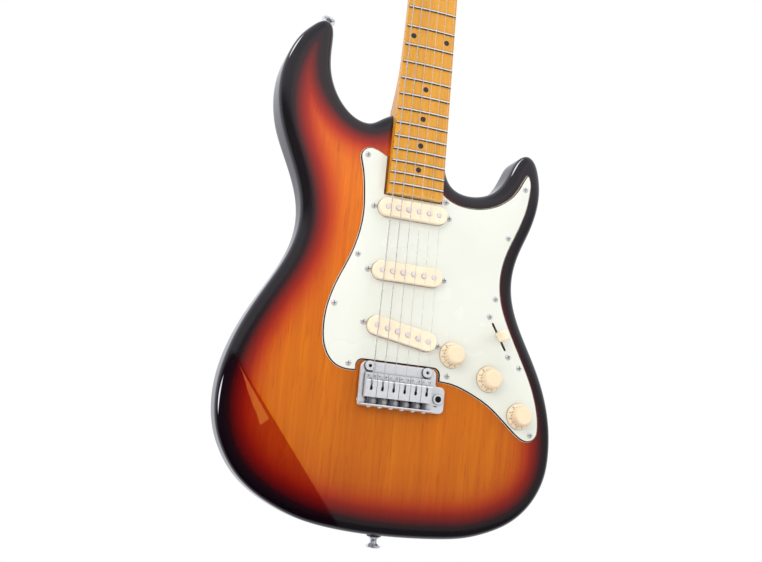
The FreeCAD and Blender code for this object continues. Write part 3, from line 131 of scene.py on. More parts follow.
def metres(points):
    """Working millimetres to frame metres, for an array of points."""
    return (np.asarray(points, float) + FRAME_SHIFT) / 1000.0


def at(x, y, z):
    """One working point in frame metres."""
    return tuple(metres((x, y, z)).tolist())


def lifted(points, y):
    """X, Z points placed at depth y (one value or one each), in metres."""
    depth = np.broadcast_to(y, len(points))
    return metres(np.stack([points[:, 0], depth, points[:, 1]], 1))


# ------------------------------------------------------------- curve tools
def resample(knots, spans, bends, count=None, step=None):
    """Evenly spaced points on a cubic spline with second derivatives `bends`."""
    starts = np.r_[0, np.cumsum(spans)]

    def evaluate(t):
        i = np.clip(np.searchsorted(starts, t, side="right") - 1, 0, len(spans) - 1)
        span = spans[i][:, None]
        a = (starts[i + 1] - t)[:, None] / span
        b = (t - starts[i])[:, None] / span
        curve = (a ** 3 - a) * bends[i] + (b ** 3 - b) * bends[i + 1]
        return a * knots[i] + b * knots[i + 1] + curve * span ** 2 / 6

    t = np.linspace(0, starts[-1], 20000)
    steps = np.linalg.norm(np.diff(evaluate(t), axis=0), axis=1)
    travel = np.r_[0, np.cumsum(steps)]
    count = count or max(2, int(round(travel[-1] / step)))
    return evaluate(np.interp(np.linspace(0, travel[-1], count + 1), travel, t))


def spline_open(points, step):
    """Natural cubic spline through the points, resampled about every `step`."""
    knots = np.array(points, float)
    spans = np.linalg.norm(np.diff(knots, axis=0), axis=1)
    n = len(knots)
    system = np.zeros((n, n))
    target = np.zeros(knots.shape)
    system[0, 0] = system[-1, -1] = 1
    for i in range(1, n - 1):
        before, after = spans[i - 1], spans[i]
        system[i, i - 1], system[i, i], system[i, i + 1] = before, 2 * (before + after), after
        target[i] = 6 * ((knots[i + 1] - knots[i]) / after - (knots[i] - knots[i - 1]) / before)
    return resample(knots, spans, np.linalg.solve(system, target), step=step)


def spline_closed(points, count):
    """Closed cubic spline through the points, resampled to `count` points."""
    knots = np.array(points, float)
    closed = np.vstack([knots, knots[:1]])
    spans = np.linalg.norm(np.diff(closed, axis=0), axis=1)
    n = len(knots)
    system = np.zeros((n, n))
    target = np.zeros(knots.shape)
    for i in range(n):
        before, after = spans[i - 1], spans[i]
        system[i, (i - 1) % n] += before
        system[i, i] += 2 * (before + after)
        system[i, (i + 1) % n] += after
        target[i] = 6 * ((closed[i + 1] - knots[i]) / after - (knots[i] - knots[i - 1]) / before)
    bends = np.linalg.solve(system, target)
    return resample(closed, spans, np.vstack([bends, bends[:1]]), count=count)[:-1]


def unit(vectors):
    return vectors / np.linalg.norm(vectors, axis=1)[:, None]


def left_of(directions):
    return np.stack([-directions[:, 1], directions[:, 0]], 1)


def winding(loop):
    """1 for a counterclockwise loop, -1 for a clockwise one."""
    area = 0.5 * np.sum(loop[:, 0] * np.roll(loop[:, 1], -1) - np.roll(loop[:, 0], -1) * loop[:, 1])
    return 1.0 if area > 0 else -1.0


def inward_normals(loop):
    return left_of(unit(np.roll(loop, -1, 0) - np.roll(loop, 1, 0))) * winding(loop)


def offset_loop(loop, distance):
    """Closed polygon moved inside by `distance` with mitred corners."""
    sign = winding(loop)
    before = left_of(unit(loop - np.roll(loop, 1, 0))) * sign
    after = left_of(unit(np.roll(loop, -1, 0) - loop)) * sign
    mitre = before + after
    mitre /= np.maximum(np.linalg.norm(mitre, axis=1), 1e-6)[:, None]
    cosine = np.maximum((mitre * before).sum(1), 0.5)
    return loop + mitre * (distance / cosine)[:, None]


def smooth_closed(values, reach, times=1):
    """Running mean round a loop over `reach` neighbours each way."""
    for _ in range(times):
        total = np.array(values)
        for i in range(1, reach + 1):
            total = total + np.roll(values, i, 0) + np.roll(values, -i, 0)
        values = total / (2 * reach + 1)
    return values


def inside(loop, points):
    """Even-odd test of many points against one polygon."""
    x, y = points[:, 0], points[:, 1]
    result = np.zeros(len(points), bool)
    ax, ay = loop[:, 0], loop[:, 1]
    bx, by = np.roll(ax, -1), np.roll(ay, -1)
    for i in range(len(loop)):
        crosses = (ay[i] > y) != (by[i] > y)
        if crosses.any():
            edge_x = (bx[i] - ax[i]) * (y - ay[i]) / (by[i] - ay[i] + 1e-12) + ax[i]
            result ^= crosses & (x < edge_x)
    return result


def distance_to(loop, points):
    """Distance from many points to a closed loop, worked in batches."""
    batch = 400
    result = np.empty(len(points))
    edge = np.roll(loop, -1, 0) - loop
    edge_sq = (edge ** 2).sum(1)
    for start in range(0, len(points), batch):
        away = points[start:start + batch][:, None, :] - loop[None]
        t = np.clip((away * edge[None]).sum(2) / edge_sq[None], 0, 1)
        gap = away - t[..., None] * edge[None]
        result[start:start + batch] = np.sqrt((gap ** 2).sum(2).min(1))
    return result


def hex_grid(outer, pitch):
    """Points of a hexagonal grid inside the loop, kept clear of its edge."""
    low, high = outer.min(0), outer.max(0)
    rows = []
    z = low[1]
    while z < high[1]:
        xs = np.arange(low[0] + (len(rows) % 2) * pitch / 2, high[0], pitch)
        rows.append(np.stack([xs, np.full(len(xs), z)], 1))
        z += pitch * 0.8660254
    grid = np.vstack(rows)
    grid = grid[inside(outer, grid)]
    return grid[distance_to(outer, grid) > pitch * 0.55]


def fill(outer, holes=(), grid=None):
    """Points and triangles inside `outer` and outside `holes`, the loops' points first."""
    points, edges = [], []
    for loop in (outer, *holes):
        first, n = len(points), len(loop)
        points += [tuple(p) for p in loop]
        edges += [(first + i, first + (i + 1) % n) for i in range(n)]
    if grid:
        points += [tuple(p) for p in hex_grid(outer, grid)]
    result = delaunay_2d_cdt([Vector(p) for p in points], edges, [], 0, 1e-6)
    flat = np.array([[v[0], v[1]] for v in result[0]])
    triangles = np.array([f for f in result[2] if len(f) == 3])
    centres = flat[triangles].mean(1)
    keep = inside(outer, centres)
    for hole in holes:
        keep &= ~inside(hole, centres)
    triangles = triangles[keep]
    a, b, c = (flat[triangles[:, i]] for i in range(3))
    area = (b[:, 0] - a[:, 0]) * (c[:, 1] - a[:, 1]) - (b[:, 1] - a[:, 1]) * (c[:, 0] - a[:, 0])
    triangles[area < 0] = triangles[area < 0][:, ::-1]
    return flat, triangles


def arc_through(start, middle, end, count):
    """Points of the circle arc through three X, Z points."""
    ax, az = start
    bx, bz = middle
    cx, cz = end
    a_sq, b_sq, c_sq = ax * ax + az * az, bx * bx + bz * bz, cx * cx + cz * cz
    scale = 2 * (ax * (bz - cz) + bx * (cz - az) + cx * (az - bz))
    x = (a_sq * (bz - cz) + b_sq * (cz - az) + c_sq * (az - bz)) / scale
    z = (a_sq * (cx - bx) + b_sq * (ax - cx) + c_sq * (bx - ax)) / scale
    angles = np.unwrap([math.atan2(p[1] - z, p[0] - x) for p in (start, middle, end)])
    radius = math.hypot(ax - x, az - z)
    return [(x + radius * math.cos(t), z + radius * math.sin(t))
            for t in np.linspace(angles[0], angles[2], count)]


def rect(x0, x1, z0, z1):
    return [(x0, z0), (x1, z0), (x1, z1), (x0, z1)]


def circle(x, z, radius, count):
    turns = [2 * math.pi * i / count for i in range(count)]
    return [(x + radius * math.cos(t), z + radius * math.sin(t)) for t in turns]


def stadium(half, radius, count):
    """Slot outline: half the straight length, the end radius, points at each end."""
    t = np.linspace(-math.pi / 2, math.pi / 2, count)
    right = np.stack([half + radius * np.cos(t), radius * np.sin(t)], 1)
    left = np.stack([-half - radius * np.cos(t), -radius * np.sin(t)], 1)
    return np.vstack([right, left])


def turned(points, angle, x, z):
    """X, Z points turned about Y and moved: local X runs to (cos, -sin)."""
    p = np.asarray(points, float)
    c, s = math.cos(angle), math.sin(angle)
    return np.stack([p[:, 0] * c + p[:, 1] * s + x, -p[:, 0] * s + p[:, 1] * c + z], 1)


# -------------------------------------------------------------- mesh tools
def new_object(name, verts, faces, weld=False):
    """Object from points in metres, with its normals turned outward."""
    mesh = bpy.data.meshes.new(name)
    mesh.from_pydata([tuple(v) for v in verts], [], [tuple(int(i) for i in f) for f in faces])
    if weld:
        mesh.validate()
    bm = bmesh.new()
    bm.from_mesh(mesh)
    if weld:
        bmesh.ops.remove_doubles(bm, verts=bm.verts, dist=1e-7)
    bmesh.ops.recalc_face_normals(bm, faces=bm.faces)
    bm.to_mesh(mesh)
    bm.free()
    ob = bpy.data.objects.new(name, mesh)
    scene.collection.objects.link(ob)
    return ob


def shade(mesh, sharp_angle=None):
    """Smooth shading split above `sharp_angle` degrees, or flat without one."""
    mesh.polygons.foreach_set("use_smooth", [sharp_angle is not None] * len(mesh.polygons))
    if sharp_angle is not None:
        mesh.set_sharp_from_angle(angle=math.radians(sharp_angle))


def new_part(name, verts, faces, sharp_angle=None):
    ob = new_object(name, verts, faces, weld=True)
    shade(ob.data, sharp_angle)
    return ob


def finish_part(ob, material, replaces=None):
    ob.data.materials.clear()
    ob.data.materials.append(material)
    if replaces:
        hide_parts(replaces)


def join(shapes):
    """One set of points in metres and faces from (points, faces) pairs in millimetres."""
    verts, faces = [], []
    for points, shape_faces in shapes:
        first = len(verts)
        verts += list(metres(points))
        faces += [tuple(first + i for i in f) for f in shape_faces]
    return verts, faces


def bands(rings):
    """Quads between each closed ring of indices and the next."""
    faces = []
    for a, b in zip(rings[:-1], rings[1:]):
        faces += list(zip(a, np.roll(a, -1), np.roll(b, -1), b))
    return faces


def prism_faces(n):
    sides = [(i, (i + 1) % n, n + (i + 1) % n, n + i) for i in range(n)]
    return [tuple(range(n))[::-1], tuple(range(n, 2 * n))] + sides


def tube(path, radius, count):
    """Points and faces of a capped tube along a path that doesn't start along X."""
    path = np.array(path, float)
    ahead = unit(np.gradient(path, axis=0))
    side = np.cross(ahead[0], (1, 0, 0))
    side /= np.linalg.norm(side)
    verts, faces = [], []
    for centre, forward in zip(path, ahead):
        side = side - forward * np.dot(side, forward)
        side /= np.linalg.norm(side)
        other = np.cross(forward, side)
        for k in range(count):
            a = 2 * math.pi * k / count
            verts.append(centre + radius * (math.cos(a) * side + math.sin(a) * other))
    for i in range(len(path) - 1):
        for k in range(count):
            a, b = i * count + k, i * count + (k + 1) % count
            faces.append((a, b, b + count, a + count))
    faces.append(tuple(range(count))[::-1])
    faces.append(tuple(range((len(path) - 1) * count, len(path) * count)))
    return verts, faces


# ------------------------------------------------------------ shader tools
class Signal:
    """A node output; arithmetic and comparison on it add Math nodes."""

    def __init__(self, net, socket):
        self.net, self.socket = net, socket

    def __add__(self, other):
        return self.net.math("ADD", self, other)

    def __radd__(self, other):
        return self.net.math("ADD", other, self)

    def __sub__(self, other):
        return self.net.math("SUBTRACT", self, other)

    def __rsub__(self, other):
        return self.net.math("SUBTRACT", other, self)

    def __mul__(self, other):
        return self.net.math("MULTIPLY", self, other)

    def __pow__(self, other):
        return self.net.math("POWER", self, other)

    def __lt__(self, other):
        return self.net.math("LESS_THAN", self, other)

    def __gt__(self, other):
        return self.net.math("GREATER_THAN", self, other)

    def __abs__(self):
        return self.net.math("ABSOLUTE", self)

    def remap(self, over, to=(0.0, 1.0), smooth=False):
        """Carry the range `over` to the range `to`, clamped."""
        settings = {"interpolation_type": "SMOOTHSTEP"} if smooth else {}
        inputs = dict(enumerate((self, *over, *to)))
        return self.net.make("MapRange", inputs, **settings)


class Net:
    """The emptied node tree of a material or world."""

    def __init__(self, owner):
        owner.use_nodes = True
        self.tree = owner.node_tree
        self.tree.nodes.clear()

    def feed(self, node, inputs):
        """Link Signals to a node's inputs and set plain values; colours get alpha 1."""
        for key, value in inputs.items():
            socket = node.inputs[key]
            if isinstance(value, Signal):
                self.tree.links.new(value.socket, socket)
            elif isinstance(value, tuple):
                socket.default_value = (*value, 1.0)[:len(socket.default_value)]
            else:
                socket.default_value = value

    def add(self, kind, inputs=None, **settings):
        node = self.tree.nodes.new("ShaderNode" + kind)
        for key, value in settings.items():
            setattr(node, key, value)
        self.feed(node, inputs or {})
        return node

    def make(self, kind, inputs=None, output=0, **settings):
        """Add a node and give one of its outputs."""
        return Signal(self, self.add(kind, inputs, **settings).outputs[output])

    def math(self, operation, *values, clamp=False):
        return self.make("Math", dict(enumerate(values)), operation=operation, use_clamp=clamp)

    def mix(self, factor, a, b, blend="MIX"):
        inputs = {0: factor, 6: a, 7: b}
        return self.make("Mix", inputs, output=2, data_type="RGBA", blend_type=blend)

    def ramp(self, factor, stops):
        node = self.add("ValToRGB", {0: factor})
        elements = node.color_ramp.elements
        while len(elements) < len(stops):
            elements.new(0.5)
        for element, (position, colour) in zip(elements, stops):
            element.position = position
            element.color = (*colour, 1)
        return Signal(self, node.outputs[0])

    def position(self, scale=(1, 1, 1)):
        """Object position in metres, scaled."""
        place = self.make("TexCoord", output="Object")
        return self.make("Mapping", {"Scale": scale, "Vector": place})

    def noise(self, frequency, detail=4.0, rough=0.55, warp=0.0):
        """Noise with a frequency per metre, one for all axes or one for each."""
        if not isinstance(frequency, tuple):
            frequency = (frequency,) * 3
        return self.make("TexNoise", {
            "Vector": self.position(frequency), "Scale": 1.0, "Detail": detail,
            "Roughness": rough, "Distortion": warp})

    def split(self, vector):
        node = self.add("SeparateXYZ", {0: vector})
        return [Signal(self, socket) for socket in node.outputs]

    def attribute(self, name):
        return self.make("Attribute", output="Fac", attribute_name=name)

    def bump(self, height, strength, distance):
        return self.make("Bump", {"Height": height, "Strength": strength, "Distance": distance})

    def contact(self, colour, reach, over, amount, painted_shade_colour):
        """Painted shade: a dark line where another part stands within `reach` metres."""
        node = self.add("AmbientOcclusion", {"Distance": reach}, samples=6)
        open_sky = Signal(self, node.outputs["AO"])
        return self.mix(open_sky.remap(over=over, to=(amount, 0.0)), colour, painted_shade_colour)

    def camera_switch(self, others, camera):
        """One shader for camera rays and another for all other rays."""
        seen = self.make("LightPath", output="Is Camera Ray")
        return self.make("MixShader", {0: seen, 1: others, 2: camera})


def new_material(name):
    material = bpy.data.materials.new(name)
    net = Net(material)
    output = net.add("OutputMaterial")
    surface = net.add("BsdfPrincipled")
    net.feed(output, {0: Signal(net, surface.outputs[0])})
    return material, net, surface


def scaled(colour, factor):
    return tuple(x * factor for x in colour)


# --------------------------------------------------------------- materials
# Burst colours from the rim inward: share of BURST_REACH, colour.
BURST_REACH = 70.0
BURST_STOPS = [
    (0.0, (0.0075, 0.0062, 0.0078)), (0.115, (0.0080, 0.0062, 0.0075)),
    (0.172, (0.022, 0.0045, 0.0055)), (0.235, (0.115, 0.006, 0.004)),
    (0.33, (0.265, 0.013, 0.003)), (0.42, (0.410, 0.040, 0.003)),
    (0.52, (0.490, 0.078, 0.003)), (0.65, (0.540, 0.112, 0.003)),
    (0.88, (0.565, 0.130, 0.003)), (1.0, (0.575, 0.138, 0.003))]


def bevel_masks(net):
    """Masks for the forearm bevel and for the wedge of painted reflection on it."""
    across, along = net.attribute("facet_u"), net.attribute("facet_v")
    ragged = (net.noise(60, detail=2.0) - 0.5) * 3.5      # 3.5 mm of unevenness
    on_bevel = across.remap(over=(-0.25, 0.25))
    # The wedge starts 6 mm along and widens by 0.205 mm per mm, from 2 mm.
    wedge = (along - 6.0) * 0.205 + (ragged + 2.0)
    outer = (wedge - across).remap(over=(-0.4, 0.4))
    end = (along + ragged * 2.0).remap(over=(57.0, 59.0), to=(1.0, 0.0))
    inner = (across - along * 0.035).remap(over=(1.0, 1.6))
    return on_bevel, outer * end * inner


def grain_gain(net, depth):
    """Brightness of the vertical grain, weaker near the rim."""
    fine = net.noise((900, 300, 14), detail=3.0, rough=0.6)
    medium = net.noise((210, 210, 5), detail=4.0, rough=0.6, warp=0.4)
    slow = net.noise((34, 34, 1.6), detail=2.0, rough=0.5, warp=0.3)
    pores = net.noise((520, 520, 42), detail=2.0, rough=0.5)
    grain = fine * 0.35 + (medium * 0.40 + slow * 0.25)    # shares of the three noises
    gain = grain.remap(over=(0.36, 0.64), to=(0.86, 1.09))
    gain = gain * pores.remap(over=(0.60, 0.72), to=(1.0, 0.84))
    return 1.0 + (gain - 1.0) * depth.remap(over=(14.0, 40.0), to=(0.25, 1.0))


def glint_strength(net):
    """Glints on marked stretches of the edge, where the view is mirrored towards -X."""
    geometry = net.add("NewGeometry")
    view = Signal(net, geometry.outputs["Incoming"])
    normal = Signal(net, geometry.outputs["Normal"])
    away = net.make("VectorMath", {0: view, 3: -1.0}, operation="SCALE")
    mirrored = net.make("VectorMath", {0: away, 1: normal}, operation="REFLECT")
    x, y, _ = net.split(mirrored)
    mark = net.attribute("glint")
    half_width = mark * 0.17
    off_centre = abs(y - net.attribute("glint_y"))
    lit = (half_width - off_centre).remap(over=(0.0, 0.05))
    lit = lit * (x < -0.2)
    lit = lit * (mark > 0.02)
    return lit * 0.95


def burst_material():
    """Lacquered burst coloured by distance from the rim: black, red, then amber."""
    material, net, surface = new_material("sunburst_lacquer")
    place = net.position()
    wobble = net.noise((9, 9, 4), detail=3.0)
    depth = net.attribute("rim") + (wobble - 0.5) * 5.0    # border wanders by 5 mm
    # The dark border widens in the -X horn and more at the +X one.
    x, _, z = net.split(place)
    horns = z.remap(over=(0.365, 0.435), smooth=True) * (x < -0.02)
    cutaway = z.remap(over=(0.20, 0.30), smooth=True) * x.remap(over=(0.03, 0.07), smooth=True)
    horns = horns + cutaway * 1.25
    depth = depth * (1.0 - horns * 0.20)
    # The bevel counts as further in by 1.5 mm, its wedge by 9 mm more as a painted reflection.
    on_bevel, wedge_painted_reflection = bevel_masks(net)
    depth = depth + on_bevel * (1.5 + wedge_painted_reflection * 9.0)
    colour = net.ramp(net.math("DIVIDE", depth, BURST_REACH, clamp=True), BURST_STOPS)
    # Golden figure between the darker grain lines.
    figure = net.noise((170, 170, 9), detail=5.0, rough=0.62, warp=0.6)
    gold = figure.remap(over=(0.48, 0.68), to=(0.0, 0.50)) * depth.remap(over=(30.0, 52.0))
    colour = net.mix(gold, colour, (0.64, 0.185, 0.003))
    # Green and blue take the grain more strongly than red.
    gain = grain_gain(net, depth)
    strong = gain ** 1.5
    grain = net.make("CombineXYZ", {0: gain, 1: strong, 2: strong})
    colour = net.mix(1.0, colour, grain, blend="MULTIPLY")
    # Painted shade darkens the bevel, and a painted reflection lightens its wedge.
    bevel_painted_shade = on_bevel * (1.0 - wedge_painted_reflection * 0.62)
    colour = net.mix(bevel_painted_shade, colour, (0.66, 0.26, 0.55), blend="MULTIPLY")
    colour = net.mix(wedge_painted_reflection * 0.09, colour, (0.60, 0.28, 0.15))
    # Painted light: brighter towards the top.
    painted_top_light = net.split(place)[2].remap(over=(0.02, 0.33), to=(0.68, 1.14))
    haze = net.noise(60, detail=3.0)
    ripple = net.noise(140, detail=2.0, rough=0.4)
    net.feed(surface, {
        "Base Color": net.make("HueSaturation", {"Value": painted_top_light, "Color": colour}),
        "Roughness": 0.55, "Specular IOR Level": 0.0,
        "Coat Weight": 1.0, "Coat IOR": 1.5,
        "Coat Roughness": haze.remap(over=(0.3, 0.7), to=(0.025, 0.055)),
        "Coat Normal": net.bump(ripple, strength=0.03, distance=0.0004),
        "Emission Color": (0.93, 0.96, 1.0),
        "Emission Strength": glint_strength(net)})
    return material


def wood_material(name, tint, coat):
    """Straight vertical grain with dark flecks; painted light makes faces that look down paler."""
    material, net, surface = new_material(name)
    streaks = net.noise((260, 260, 9), detail=4.0, rough=0.6, warp=0.5)
    bands_noise = net.noise((70, 70, 3.2), detail=3.0, rough=0.55, warp=0.4)
    fine = net.noise((1200, 1200, 60), detail=2.0, rough=0.5)
    figure = streaks * 0.5 + (bands_noise * 0.35 + fine * 0.15)    # shares of the three noises
    light = tuple(min(1.0, x * 1.12) for x in tint)
    colour = net.ramp(figure.remap(over=(0.34, 0.66)),
                      [(0.0, scaled(tint, 0.72)), (0.5, tint), (1.0, light)])
    fleck = net.noise((500, 500, 90), detail=1.0, rough=0.4)
    colour = net.mix(fleck.remap(over=(0.66, 0.76), to=(0.0, 0.22)), colour, scaled(tint, 0.55))
    # Painted shade where another part stands close, such as beside the frets.
    colour = net.contact(colour, reach=0.0020, over=(0.60, 0.90), amount=0.90,
                         painted_shade_colour=(0.085, 0.030, 0.008))
    # Painted light: faces that look down are made paler.
    normal = net.make("NewGeometry", output="Normal")
    under = net.split(normal)[2].remap(over=(-0.95, -0.75), to=(1.0, 0.0))
    pale = tuple(min(1.0, x * 1.6 + 0.22) for x in tint)
    net.feed(surface, {
        "Base Color": net.mix(under, colour, pale),
        "Roughness": streaks.remap(over=(0.3, 0.7), to=(0.36, 0.48)),
        "Coat Weight": coat, "Coat Roughness": 0.16,
        "Normal": net.bump(fine, strength=0.12, distance=0.0003)})
    return material


def metal_material(name, base, rough, wear, metal=1.0, brushed=None, painted_shade_reach=0.0, shade_free_openness=0.85,
                   belly=0.0):
    """Plated metal.

    wear: added roughness; brushed: noise frequencies of a brushed finish; soot: reach of the
    painted shade in corners, gone at the openness `shade_free_openness`; belly: how strongly faces
    that look down are darkened as painted shade.
    """
    material, net, surface = new_material(name)
    tarnish = net.noise(320, detail=4.0, rough=0.6)
    colour = net.mix(tarnish.remap(over=(0.45, 0.75), to=(0.0, 0.6)), base, scaled(base, 0.86))
    # Painted shade in corners and where parts stand close.
    if painted_shade_reach:
        colour = net.contact(colour, reach=painted_shade_reach, over=(shade_free_openness - 0.40, shade_free_openness), amount=1.0,
                             painted_shade_colour=(0.012, 0.012, 0.014))
    # Painted shade on faces that look down.
    if belly:
        normal = net.make("NewGeometry", output="Normal")
        low = net.split(normal)[2].remap(over=(-0.62, -0.28), to=(belly, 0.0))
        colour = net.mix(low, colour, (0.030, 0.016, 0.010))
    if brushed:
        texture = net.noise(brushed, detail=3.0, rough=0.5)
        roughness = texture.remap(over=(0.3, 0.7), to=(rough - wear, rough + wear * 2))
        normal = net.bump(texture, strength=0.08, distance=0.0002)
    else:
        roughness = tarnish.remap(over=(0.35, 0.75), to=(rough, rough + wear))
        texture = net.noise(900, detail=2.0, rough=0.5)
        normal = net.bump(texture, strength=0.03, distance=0.0001)
    net.feed(surface, {"Base Color": colour, "Metallic": metal, "Roughness": roughness,
                       "Normal": normal})
    return material


def plastic_material(name, base, shade_colour, rough=0.28):
    material, net, surface = new_material(name)
    clouds = net.noise(22)
    specks = net.noise(420, detail=3.0, rough=0.6)
    colour = net.mix(clouds.remap(over=(0.35, 0.7)), base, shade_colour)
    colour = net.mix(specks.remap(over=(0.6, 0.75), to=(0.0, 0.10)), colour, scaled(base, 0.7))
    # Painted shade where another part stands close.
    colour = net.contact(colour, reach=0.0014, over=(0.42, 0.80), amount=0.80,
                         painted_shade_colour=(0.13, 0.09, 0.05))
    net.feed(surface, {
        "Base Color": colour,
        "Roughness": clouds.remap(over=(0.3, 0.7), to=(rough - 0.04, rough + 0.07)),
        "Coat Weight": 0.35, "Coat Roughness": 0.12,
        "Subsurface Weight": 0.06, "Subsurface Radius": (0.002, 0.0016, 0.001),
        "Subsurface Scale": 0.5,
        "Normal": net.bump(specks, strength=0.05, distance=0.0002)})
    return material


def guard_material():
    """Pale top, black core and cream underside, told apart by depth."""
    core_top, core_end = 0.42, 1.72      # millimetres below the top surface
    material, net, surface = new_material("guard_three_ply")
    y = net.split(net.position())[1]
    depth = (y - at(0, GUARD_TOP, 0)[1]) * 1000.0
    clouds = net.noise(12, detail=3.0, rough=0.5)
    specks = net.noise(600, detail=3.0, rough=0.6)
    top = net.mix(clouds.remap(over=(0.35, 0.65)), (0.680, 0.690, 0.600), (0.700, 0.710, 0.625))
    bottom = net.mix(specks, (0.84, 0.72, 0.55), (0.88, 0.78, 0.62))
    core = (depth > core_top) * (depth < core_end)
    under = depth > core_end
    colour = net.mix(core, net.mix(under, top, bottom), (0.012, 0.012, 0.013))
    colour = net.mix(specks.remap(over=(0.62, 0.78), to=(0.0, 0.08)), colour, (0.4, 0.42, 0.38))
    # Painted shade where another part stands close.
    colour = net.contact(colour, reach=0.0016, over=(0.38, 0.74), amount=0.80,
                         painted_shade_colour=(0.05, 0.046, 0.04))
    scratches = net.noise((1800, 1800, 260), detail=2.0, rough=0.5)
    net.feed(surface, {
        "Base Color": colour,
        "Roughness": clouds.remap(over=(0.3, 0.7), to=(0.20, 0.30)),
        "Coat Weight": 0.4, "Coat Roughness": 0.08,
        "Normal": net.bump(scratches, strength=0.03, distance=0.0001)})
    return material


def dark_material(name, base=(0.012, 0.012, 0.013), rough=0.4):
    material, net, surface = new_material(name)
    specks = net.noise(700, detail=3.0, rough=0.6)
    net.feed(surface, {
        "Base Color": net.mix(specks, base, scaled(base, 2.2)),
        "Roughness": specks.remap(over=(0.3, 0.7), to=(rough - 0.08, rough + 0.12)),
        "Normal": net.bump(specks, strength=0.15, distance=0.0003)})
    return material


def felt_material():
    material, net, surface = new_material("felt_black")
    fibres = net.noise(2200, detail=4.0, rough=0.7)
    net.feed(surface, {
        "Base Color": net.mix(fibres, (0.008, 0.008, 0.009), (0.04, 0.04, 0.045)),
        "Roughness": 0.95, "Sheen Weight": 0.6,
        "Normal": net.bump(fibres, strength=0.8, distance=0.0006)})
    return material


def coil_material():
    material, net, surface = new_material("coil_tape")
    weave = net.noise((300, 2400, 300), detail=3.0, rough=0.6)
    net.feed(surface, {
        "Base Color": net.mix(weave, (0.010, 0.010, 0.012), (0.035, 0.030, 0.028)),
        "Roughness": 0.6,
        "Normal": net.bump(weave, strength=0.3, distance=0.0003)})
    return material


def string_material(name, base, wound):
    """String steel, with fine ridges along Z if wound."""
    material, net, surface = new_material(name)
    tarnish = net.noise((500, 500, 120), detail=3.0, rough=0.6)
    tarnished = tarnish.remap(over=(0.4, 0.7), to=(0.0, 0.7))
    net.feed(surface, {
        "Metallic": 0.7,
        "Base Color": net.mix(tarnished, base, scaled(base, 0.75)),
        "Roughness": tarnish.remap(over=(0.3, 0.7), to=(0.20, 0.36))})
    if wound:
        ridges = net.make("TexWave", {"Vector": net.position((1, 1, 900)), "Scale": 1.0},
                          output="Fac", wave_type="BANDS", bands_direction="Z")
        net.feed(surface, {"Normal": net.bump(ridges, strength=0.6, distance=0.0001)})
    return material


BURST = burst_material()
MAPLE = wood_material("maple_tinted", tint=(0.625, 0.280, 0.018), coat=0.45)
WALNUT = wood_material("walnut_strip", tint=(0.13, 0.060, 0.026), coat=0.2)
CHROME = metal_material("chrome_plate", base=(0.88, 0.88, 0.90), rough=0.10, wear=0.06,
                        metal=0.85, painted_shade_reach=0.0025)
BRIDGE_CHROME = metal_material("bridge_chrome", base=(0.93, 0.94, 0.95), rough=0.16, wear=0.07,
                               metal=0.60, painted_shade_reach=0.0036, shade_free_openness=0.84)
SCREW = metal_material("nickel_screw", base=(0.70, 0.70, 0.69), rough=0.22, wear=0.10,
                       metal=0.35, painted_shade_reach=0.0010)
FRET = metal_material("nickel_silver_fret", base=(0.88, 0.85, 0.80), rough=0.16, wear=0.08,
                      metal=0.70, painted_shade_reach=0.0016, belly=0.92)
STEEL = metal_material("plain_steel", base=(0.50, 0.50, 0.50), rough=0.32, wear=0.12,
                       brushed=(120, 900, 900))
POLE = metal_material("pole_steel", base=(0.84, 0.76, 0.74), rough=0.34, wear=0.08,
                      metal=0.40, painted_shade_reach=0.0010)
CREAM = plastic_material("aged_cream_plastic", base=(0.86, 0.735, 0.54),
                         shade_colour=(0.83, 0.69, 0.49))
KNOB_CREAM = plastic_material("knob_cream_plastic", base=(0.80, 0.655, 0.445),
                              shade_colour=(0.76, 0.60, 0.40), rough=0.32)
BONE = plastic_material("bone_nut", base=(0.84, 0.80, 0.68), shade_colour=(0.78, 0.72, 0.58),
                        rough=0.35)
GUARD = guard_material()
BLACK = dark_material("black_inlay", rough=0.25)
COIL = coil_material()
FELT = felt_material()
PLAIN_STRING = string_material("plain_string", base=(0.84, 0.81, 0.76), wound=False)
WOUND_STRING = string_material("wound_string", base=(0.74, 0.72, 0.69), wound=True)
DIAL_INK = dark_material("dial_ink", base=(0.10, 0.075, 0.05), rough=0.6)
# Black that stands in for the shade inside the arm socket: painted shade.
SOCKET_PAINTED_SHADE = dark_material("socket_painted_shade", base=(0.004, 0.004, 0.004), rough=0.9)

# CAD parts that keep their shape and only take a material.
PART_MATERIALS = [
    (MAPLE, ["neck"]),
    (WALNUT, ["skunk_stripe"]),
    (STEEL, ["truss_rod", "switch_frame", "switch_lever", "spring_claw", "tremolo_block",
             "potentiometers", "output_jack", "pickup_springs", "intonation_springs",
             "tremolo_springs"]),
    (BONE, ["nut"]),
    (FRET, ["frets"]),
    (BLACK, ["fret_markers"]),
    (CHROME, ["string_trees", "neck_plate", "jack_plate", "strap_buttons", "tuner_housings",
              "tuner_bushings", "panel_nuts", *["tuner_button_%d" % k for k in range(1, 7)],
              *["tuner_post_%d" % k for k in range(1, 7)]]),
    (BRIDGE_CHROME, ["tremolo_plate", "saddles", "tremolo_studs"]),
    (SCREW, ["neck_screws", "machine_screws", "strap_and_claw_screws", "small_screws",
             "saddle_height_screws", "bridge_screws"]),
    (GUARD, ["back_cover", "pickguard"]),
    (CREAM, ["pickup_cover_neck", "pickup_cover_middle", "pickup_cover_bridge", "switch_tip"]),
    (KNOB_CREAM, ["knob_volume", "knob_tone_neck", "knob_tone_middle"]),
    (COIL, ["pickup_coils"]),
    (POLE, ["pickup_poles", "pot_shaft_volume", "pot_shaft_tone_neck",
            "pot_shaft_tone_middle"]),
    (FELT, ["strap_felts"]),
]
